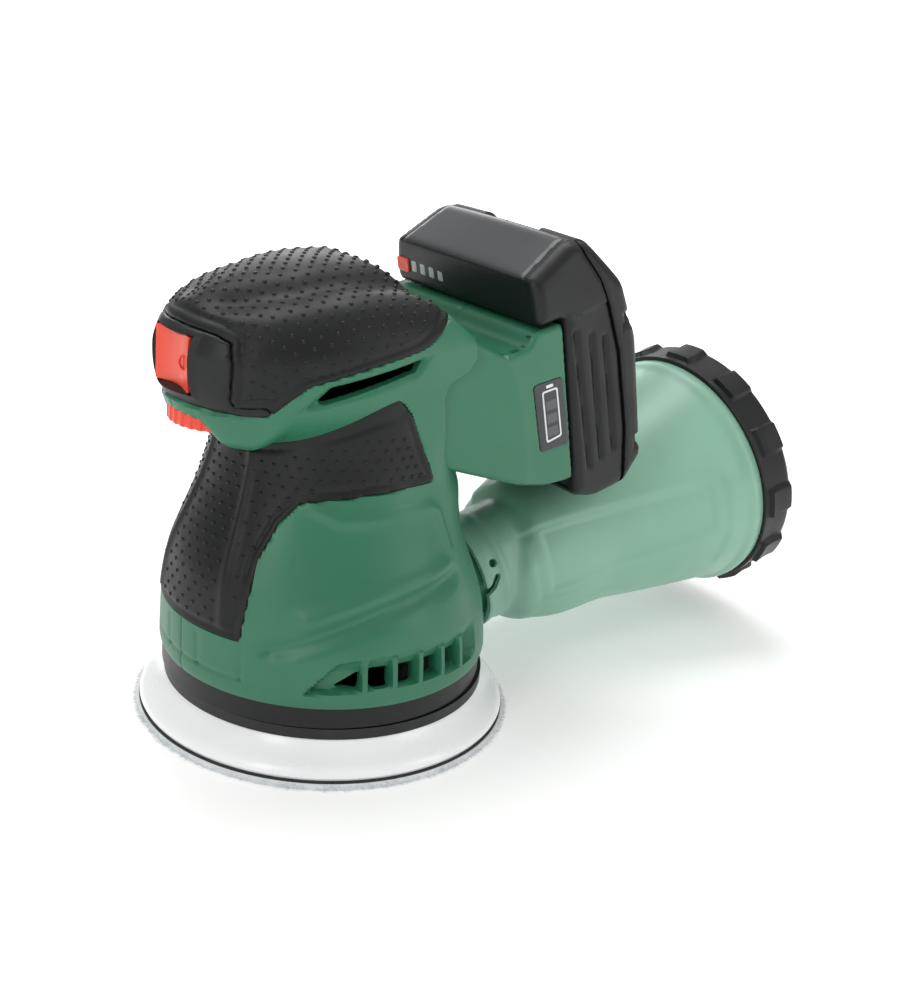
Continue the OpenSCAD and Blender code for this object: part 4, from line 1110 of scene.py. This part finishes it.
def build_dust_box():
    """Translucent box with sunk side panels, a rim bead and bayonet slots, and its screw cap."""
    def keep(p):
        q = p - (BOX_RIM + 3.5 * BOX_UP)
        along = q @ BOX_OUT
        turn = np.degrees(np.arctan2(np.abs(q[..., 1]), q @ BOX_UP))
        hole = np.hypot(along + 109.5, (turn - 62) * 0.35) - 1.7
        line = np.array([(-120, 92), (-112, 86), (-109.5, 78)]) * [1, 0.35]
        slot = off_line(line, along, turn * 0.35) - 1.3
        return np.where(along < -98, np.minimum(hole, slot), FAR_INSIDE)

    def lift(p, d):
        along, turn = box_coords(p)
        inner = inside(BOX_PANEL, along, turn * 0.62)
        outer = inside(BOX_PANEL_OUT, along, turn * 0.62)
        bead = 1.0 * bump(along + 3.2, 2.0)
        collar = 0.8 * bump(along + 106, 1.6) + 0.6 * bump(along + 114, 1.4)
        return -0.9 * ease(outer, 0, 2.0) - 0.9 * ease(inner, -0.6, 1.6) + bead + collar

    rows = np.concatenate([np.arange(-115, -84, 0.9), np.arange(-84, 0, 1.3), [0, 1.2]])
    whole = patch(box_point, steps(-180, 180, 2.0), rows, keep, lift, 1.7, BOX_RIM - 50 * BOX_OUT)
    # the thin sleeve that the cap screws on to
    sleeve = turned([(42.4, -1), (44.4, -1), (44.4, 9.6), (44.1, 10), (42.7, 10), (42.4, 9.6)], 160, BOX_RIM,
                    BOX_OUT, BOX_UP)
    thread = turned([(44.4, 3), (45.0, 3.5), (45.0, 4.1), (44.4, 4.6)], 160, BOX_RIM, BOX_OUT, BOX_UP)
    piece("dust_box_body", [whole, sleeve, thread], "clear_green", "dust_box", ["dust_box"], sharp=50)

    lugs = 12
    prof = [(45.4, 0.5), (47.2, 0.5), (47.7, 0.9), (47.7, 2.6), (47.7, 3.4), (47.7, 8), (47.7, 12.4),
            (47.6, 13.4), (47.1, 14.6), (46.2, 15.3), (45, 15.5), (40, 15.5), (39.4, 15.3), (38.6, 14.5),
            (37.8, 14.3), (22, 14.3), (21.2, 14.5), (20.4, 15.2), (19.6, 15.5), (0.6, 15.5), (0.6, 10.8),
            (44, 10.8), (45.4, 9.6)]

    def lug(a, p):
        wide = 6.6 - 0.5 * (p[:, 1] > 12)
        off = np.degrees(np.abs((a + np.pi / lugs) % (2 * np.pi / lugs) - np.pi / lugs))
        body = ease(p[:, 1], 2.4, 3.2) * ease(15.2 - p[:, 1], 0, 1.4) * (p[:, 0] > 46)
        step_line = -0.4 * (np.abs(p[:, 1] - 8) < 0.1)
        return (1.9 * ease(wide - off, -0.9, 0.5) + step_line) * body[None, :]

    cap = turned(prof, 480, BOX_RIM, BOX_OUT, BOX_UP, lug)
    stud = [(0.3, 14.1), (3.6, 14.1), (4.6, 14.1), (4.6, 14.9), (4.2, 15.2), (3.4, 15.2), (0.3, 14.9)]
    studs = [turned(stud, 28, BOX_RIM + 30 * (np.cos(a) * BOX_UP + np.sin(a) * SIDE), BOX_OUT, BOX_UP)
             for a in np.radians(np.arange(0, 360, 45) + 22.5)]
    disc = turned([(0.01, 10.9), (0.62, 10.9), (0.62, 15.45), (0.01, 15.45)], 12, BOX_RIM, BOX_OUT, BOX_UP)
    piece("dust_box_screw_cap", [cap, disc] + studs, "black_panel", "cap", ["dust_box_cap"])


def build_pad():
    """Skinned foam pad with dust holes, and the fleece disc with its frayed edge."""
    count = 8
    holes = np.radians(360 / count * (np.arange(count) + 0.5))
    hx, hy = PAD[0] + 40 * np.cos(holes), 40 * np.sin(holes)

    def disc_point(z):
        def f(u, v):
            a = np.radians(u)
            return np.stack([PAD[0] + v * np.cos(a), v * np.sin(a), z + 0 * u], -1)
        return f

    def disc_keep(radius):
        return lambda p: np.min([np.hypot(p[..., 0] - x, p[..., 1] - y) - radius for x, y in zip(hx, hy)],
                                axis=0)

    def drawn_out(p, f, z):
        """Points moved out from the pad's axis by a factor, and set at a height."""
        q = p.copy()
        q[:, 0], q[:, 1] = PAD[0] + (p[:, 0] - PAD[0]) * f, p[:, 1] * f
        q[:, 2] = z
        return q

    low, high = node_box("foam_pad")
    r_low, z0, z1 = (high[1] - low[1]) / 2, low[2], high[2]
    r_high = node_box("backing_plate")[1][1]

    def foam_side(p, t):
        r = np.hypot(p[:, 0] - PAD[0], p[:, 1])
        step = r_low - r_high
        fall = np.interp(t, [0, 0.06, 0.16, 0.32, 0.6, 0.85, 0.95, 1],
                         [0.5, 0, 0.1, 0.9, 0.9 + step * 0.52, step * 0.95, step, step + 0.6])
        return drawn_out(p, (r - fall * ease(r, 50, r_low)) / r, z0 + (z1 - z0) * t)

    def core(z):
        return (PAD[0], 0, z)

    foam = patch(disc_point(z0), steps(0, 360, 2.0), steps(10, r_low, 1.6), disc_keep(5.0), None, 1,
                 core(z0 + 10), rows=10, below=foam_side)
    # the outermost ring of the underside draws in, which rounds the lower edge
    r = np.hypot(foam[0][:, 0] - PAD[0], foam[0][:, 1])
    rim = (foam[0][:, 2] < z0 + 1e-6) & (r > r_low - 0.1)
    foam[0][rim] = drawn_out(foam[0][rim], 1 - 0.5 / r_low, foam[0][rim, 2])
    piece("foam_pad_moulding", [foam], "foam", "pad", ["foam_pad"])

    rng = np.random.default_rng(7)
    low, high = node_box("fleece_disc")
    rim = (high[1] - low[1]) / 2
    thick = high[2]

    def fleece_side(p, t):
        r = np.hypot(p[:, 0] - PAD[0], p[:, 1])
        out = 0.5 * np.sin(np.pi * t) * ease(r, rim - 1.5, rim)
        return drawn_out(p, (r + out) / r, thick * t)

    disc = patch(disc_point(0.0), steps(0, 360, 1.5), steps(0.4, rim - 0.6, 1.6), disc_keep(4.5), None, 1,
                 core(5), rows=4, below=fleece_side)
    amount = 2600
    a = rng.uniform(0, 2 * np.pi, amount)
    h = rng.uniform(0.25, thick - 0.1, amount)
    long = rng.uniform(0.5, 1.9, amount)
    drift = rng.normal(0, 0.5, amount)
    rise = rng.normal(0.0, 0.35, amount)
    thin = 0.09
    radial = np.stack([np.cos(a), np.sin(a), 0 * a], 1)
    tangent = np.stack([-np.sin(a), np.cos(a), 0 * a], 1)
    root = radial * (rim - 0.9) + [PAD[0], 0, 0] + h[:, None] * [0, 0, 1]
    bend = (root + radial * (0.6 * long + 0.4)[:, None] + tangent * (drift * 0.5)[:, None]
            + rise[:, None] * [0, 0, 0.3])
    tip = root + radial * (long + 0.6)[:, None] + tangent * drift[:, None] + rise[:, None] * [0, 0, 1]
    tip[:, 2] = np.clip(tip[:, 2], 0.05, thick + 0.7)
    pts = np.stack([root - tangent * thin, root + tangent * thin, root + [0, 0, 0.16],
                    bend - tangent * thin * 0.7, bend + tangent * thin * 0.7, bend + [0, 0, 0.12], tip], 1)
    base = (np.arange(amount) * 7)[:, None, None]
    quads = (np.array([[0, 3, 4, 1], [1, 4, 5, 2], [2, 5, 3, 0]])[None] + base).reshape(-1, 4)
    tris = (np.array([[3, 6, 4], [4, 6, 5], [5, 6, 3], [0, 1, 2]])[None] + base).reshape(-1, 3)
    nap = piece("fleece_disc_nap", [disc, (pts.reshape(-1, 3), quads, tris)], "fleece", "pad",
                ["fleece_disc"], sharp=70)


def dress_frame():
    """Gives each CAD part that still shows the material of its slot."""
    for name, part in frame["nodes"].items():
        wanted = finish_of(SLOTS[name])
        if len(part.data.materials) == 0:
            part.data.materials.append(wanted)
        for k in range(len(part.data.materials)):
            part.data.materials[k] = wanted


# ---------- stage ----------

VIEW_TURN, VIEW_RISE, VIEW_ROLL = np.radians([-40.9, 20.5, 5.2])
VIEW_FAR, VIEW_RIGHT, VIEW_UP = 524.0, 50.0, 68.0
FLOOR_HALF = 40.0
# the floor's own glow, from near the tool to a metre away, and the sky's, from the horizon up
FLOOR_GLOW = {1: 0.2, 2: 1.0, 3: 0.2, 4: 0.8}
SKY_GLOW = {1: 0.05, 2: 0.95, 3: 0.3, 4: 0.8}
# name, place, power in watts, width and height of each softbox
SOFTBOXES = (("top_softbox", (0.1, 0.25, 0.9), 3.6, 0.7, 0.35),
             ("left_softbox", (-0.9, -0.35, 0.55), 2.4, 0.25, 0.8),
             ("right_softbox", (0.6, -0.9, 0.45), 1.9, 0.3, 0.7),
             ("rear_softbox", (0.5, 0.9, 0.5), 2.4, 0.6, 0.4))
LIGHTS_AIM = (0.04, 0, 0.08)


def softbox(name, at, power, width, height):
    """A white rectangular light that faces the tool."""
    lamp = bpy.data.lights.new(name, "AREA")
    lamp.shape, lamp.size, lamp.size_y, lamp.energy = "RECTANGLE", width, height, power
    thing = bpy.data.objects.new(name, lamp)
    bpy.context.scene.collection.objects.link(thing)
    thing.location = at
    thing.rotation_euler = (Vector(LIGHTS_AIM) - Vector(at)).to_track_quat("-Z", "Y").to_euler()


def build_stage(c):
    """Pale floor, soft lights and the camera."""
    mesh = bpy.data.meshes.new("studio_floor")
    corners = [(x * FLOOR_HALF, y * FLOOR_HALF, 0) for x, y in ((-1, -1), (1, -1), (1, 1), (-1, 1))]
    mesh.from_pydata(corners, [], [(0, 1, 2, 3)])
    floor = bpy.data.objects.new("studio_floor", mesh)
    bpy.context.scene.collection.objects.link(floor)
    # seamless paper: near white and fully matte
    paper = finish("seamless_paper", c.floor, 0.9, 3.0, 0.02, linear("#F8F8F7"), 900, 0.02)
    mesh.materials.append(paper)
    # the sweep behind is lit by itself, so the paper stays pale away from the lamps
    t = paper.node_tree
    coords = add(t, "ShaderNodeTexCoord")
    span = add(t, "ShaderNodeVectorMath", {"operation": "LENGTH"}, {0: coords.outputs["Object"]})
    glow = add(t, "ShaderNodeMapRange", {"interpolation_type": "SMOOTHSTEP"},
               {0: span.outputs["Value"], **FLOOR_GLOW})
    shade = next(n for n in t.nodes if n.type == "BSDF_PRINCIPLED")
    shade.inputs["Emission Color"].default_value = (1, 1, 1, 1)
    t.links.new(glow.outputs[0], shade.inputs["Emission Strength"])

    world = bpy.data.worlds.new("studio_world")
    world.use_nodes = True
    bpy.context.scene.world = world
    # a sky that is bright overhead and dim at the horizon, as under a large overhead softbox
    t = world.node_tree
    back = t.nodes["Background"]
    split = add(t, "ShaderNodeSeparateXYZ", None, {0: add(t, "ShaderNodeTexCoord").outputs["Generated"]})
    ramp = add(t, "ShaderNodeMapRange", {"interpolation_type": "SMOOTHSTEP"},
               {0: split.outputs[2], **SKY_GLOW})
    t.links.new(ramp.outputs[0], back.inputs["Strength"])
    back.inputs["Color"].default_value = (1, 1, 1, 1)

    for box in SOFTBOXES:
        softbox(*box)

    a, e, r = VIEW_TURN, VIEW_RISE, VIEW_ROLL
    out = np.array([np.sin(a) * np.cos(e), -np.cos(a) * np.cos(e), np.sin(e)])
    right = np.array([np.cos(a), np.sin(a), 0])
    up = np.cross(out, right)
    level, plumb = right * np.cos(r) + up * np.sin(r), up * np.cos(r) - right * np.sin(r)
    place = (out * VIEW_FAR + level * VIEW_RIGHT + plumb * VIEW_UP) * MM
    lens = bpy.data.cameras.new("studio_camera")
    lens.lens, lens.sensor_width, lens.clip_start, lens.clip_end = 54.0, 36.0, 0.01, 100
    camera = bpy.data.objects.new("studio_camera", lens)
    bpy.context.scene.collection.objects.link(camera)
    turn = Matrix((level, plumb, out)).transposed().to_4x4()
    turn.translation = Vector(place)
    camera.matrix_world = turn
    bpy.context.scene.camera = camera
    bpy.context.scene.view_settings.view_transform = "Standard"


# ---------- add-on ----------


class SanderSizes(bpy.types.PropertyGroup):
    """Sizes that shape the mouldings."""
    wall: bpy.props.FloatProperty(name="Shell wall", description="Wall of the green halves", default=0.0022,
                                  unit="LENGTH", subtype="DISTANCE")
    grip: bpy.props.FloatProperty(name="Grip height", description="Height of the soft grips above the shell",
                                  default=0.00015, unit="LENGTH", subtype="DISTANCE")
    dot_pitch: bpy.props.FloatProperty(name="Dot pitch", description="Distance between dots along a row",
                                       default=0.0051, unit="LENGTH", subtype="DISTANCE")
    dot_row: bpy.props.FloatProperty(name="Row pitch", description="Distance between rows of dots",
                                     default=0.0031, unit="LENGTH", subtype="DISTANCE")
    dot_radius: bpy.props.FloatProperty(name="Dot radius", description="Radius of one raised dot",
                                        default=0.0009, unit="LENGTH", subtype="DISTANCE")
    dot_height: bpy.props.FloatProperty(name="Dot height", description="Height of one raised dot",
                                        default=0.00042, unit="LENGTH", subtype="DISTANCE")


def colour_property(label, text, default):
    return bpy.props.FloatVectorProperty(name=label, description=text, subtype="COLOR", size=4, min=0, max=1,
                                         default=linear(default))


class SanderColours(bpy.types.PropertyGroup):
    """Colours of the mouldings."""
    shell: colour_property("Shell", "Green of the moulded halves", "#2A7153")
    shell_shade: colour_property("Shell shade", "Slight drift of the shell's green", "#27694D")
    grip: colour_property("Grip", "Black of the soft grips", "#101213")
    grip_shade: colour_property("Grip shade", "Slight drift of the black", "#0C0D0E")
    panel: colour_property("Case", "Black of the hard mouldings", "#101213")
    label: colour_property("Label", "Black of the label film", "#2E3235")
    button: colour_property("Button", "Orange of rocker, dial and level button", "#EA4A26")
    button_shade: colour_property("Button shade", "Slight drift of the orange", "#DC361F")
    lamp: colour_property("Lamp", "Grey of the lamp windows", "#B9BEC2")
    box: colour_property("Dust box", "Pale green of the box", "#AEE0C8")
    box_shade: colour_property("Dust box shade", "Slight drift of the box's green", "#93CAB0")
    pad: colour_property("Pad", "White of the foam pad", "#FDFDFD")
    fleece: colour_property("Fleece", "White of the fleece disc", "#F6F8F9")
    floor: colour_property("Floor", "Pale paper under the tool", "#F4F4F3")


class SANDER_OT_finishes(bpy.types.Operator):
    """Makes every material and gives the CAD parts theirs"""
    bl_idname = "sander.finishes"
    bl_label = "Finishes"

    def execute(self, context):
        build_finishes(context.scene.sander_colours)
        dress_frame()
        return {"FINISHED"}


class SANDER_OT_housing(bpy.types.Operator):
    """Builds the two green halves"""
    bl_idname = "sander.housing"
    bl_label = "Housing"

    def execute(self, context):
        build_housing(context.scene.sander_sizes)
        return {"FINISHED"}


class SANDER_OT_grips(bpy.types.Operator):
    """Builds the soft grips, their dots and the nose panel"""
    bl_idname = "sander.grips"
    bl_label = "Grips"

    def execute(self, context):
        build_grips(context.scene.sander_sizes)
        return {"FINISHED"}


class SANDER_OT_controls(bpy.types.Operator):
    """Builds the rocker and the speed dial"""
    bl_idname = "sander.controls"
    bl_label = "Controls"

    def execute(self, context):
        build_controls()
        return {"FINISHED"}


class SANDER_OT_pack(bpy.types.Operator):
    """Builds the battery pack and the gauge label"""
    bl_idname = "sander.pack"
    bl_label = "Battery pack"

    def execute(self, context):
        build_pack()
        return {"FINISHED"}


class SANDER_OT_dust_box(bpy.types.Operator):
    """Builds the dust box and its cap"""
    bl_idname = "sander.dust_box"
    bl_label = "Dust box"

    def execute(self, context):
        build_dust_box()
        return {"FINISHED"}


class SANDER_OT_pad(bpy.types.Operator):
    """Builds the foam pad and the fleece disc"""
    bl_idname = "sander.pad"
    bl_label = "Sanding pad"

    def execute(self, context):
        build_pad()
        return {"FINISHED"}


class SANDER_OT_stage(bpy.types.Operator):
    """Builds the floor, the lights and the camera"""
    bl_idname = "sander.stage"
    bl_label = "Stage"

    def execute(self, context):
        build_stage(context.scene.sander_colours)
        return {"FINISHED"}


OPERATORS = (SANDER_OT_finishes, SANDER_OT_housing, SANDER_OT_grips, SANDER_OT_controls, SANDER_OT_pack,
             SANDER_OT_dust_box, SANDER_OT_pad, SANDER_OT_stage)


class SANDER_PT_panel(bpy.types.Panel):
    """Lists the sander's pieces in the sidebar"""
    bl_idname = "SANDER_PT_panel"
    bl_label = "Orbital sander"
    bl_space_type = "VIEW_3D"
    bl_region_type = "UI"
    bl_category = "Sander"

    def draw(self, context):
        for op in OPERATORS:
            self.layout.operator(op.bl_idname, text=op.bl_label)
        for group in (context.scene.sander_sizes, context.scene.sander_colours):
            for name in group.__annotations__:
                self.layout.prop(group, name)


CLASSES = (SanderSizes, SanderColours) + OPERATORS + (SANDER_PT_panel,)


def register():
    for c in CLASSES:
        bpy.utils.register_class(c)
    bpy.types.Scene.sander_sizes = bpy.props.PointerProperty(type=SanderSizes)
    bpy.types.Scene.sander_colours = bpy.props.PointerProperty(type=SanderColours)


def unregister():
    del bpy.types.Scene.sander_colours
    del bpy.types.Scene.sander_sizes
    for c in reversed(CLASSES):
        bpy.utils.unregister_class(c)


def main():
    register()
    for op in OPERATORS:
        area, name = op.bl_idname.split(".")
        if getattr(getattr(bpy.ops, area), name)() != {"FINISHED"}:
            raise RuntimeError(op.bl_label + " did not finish")


if __name__ == "__main__":
    main()
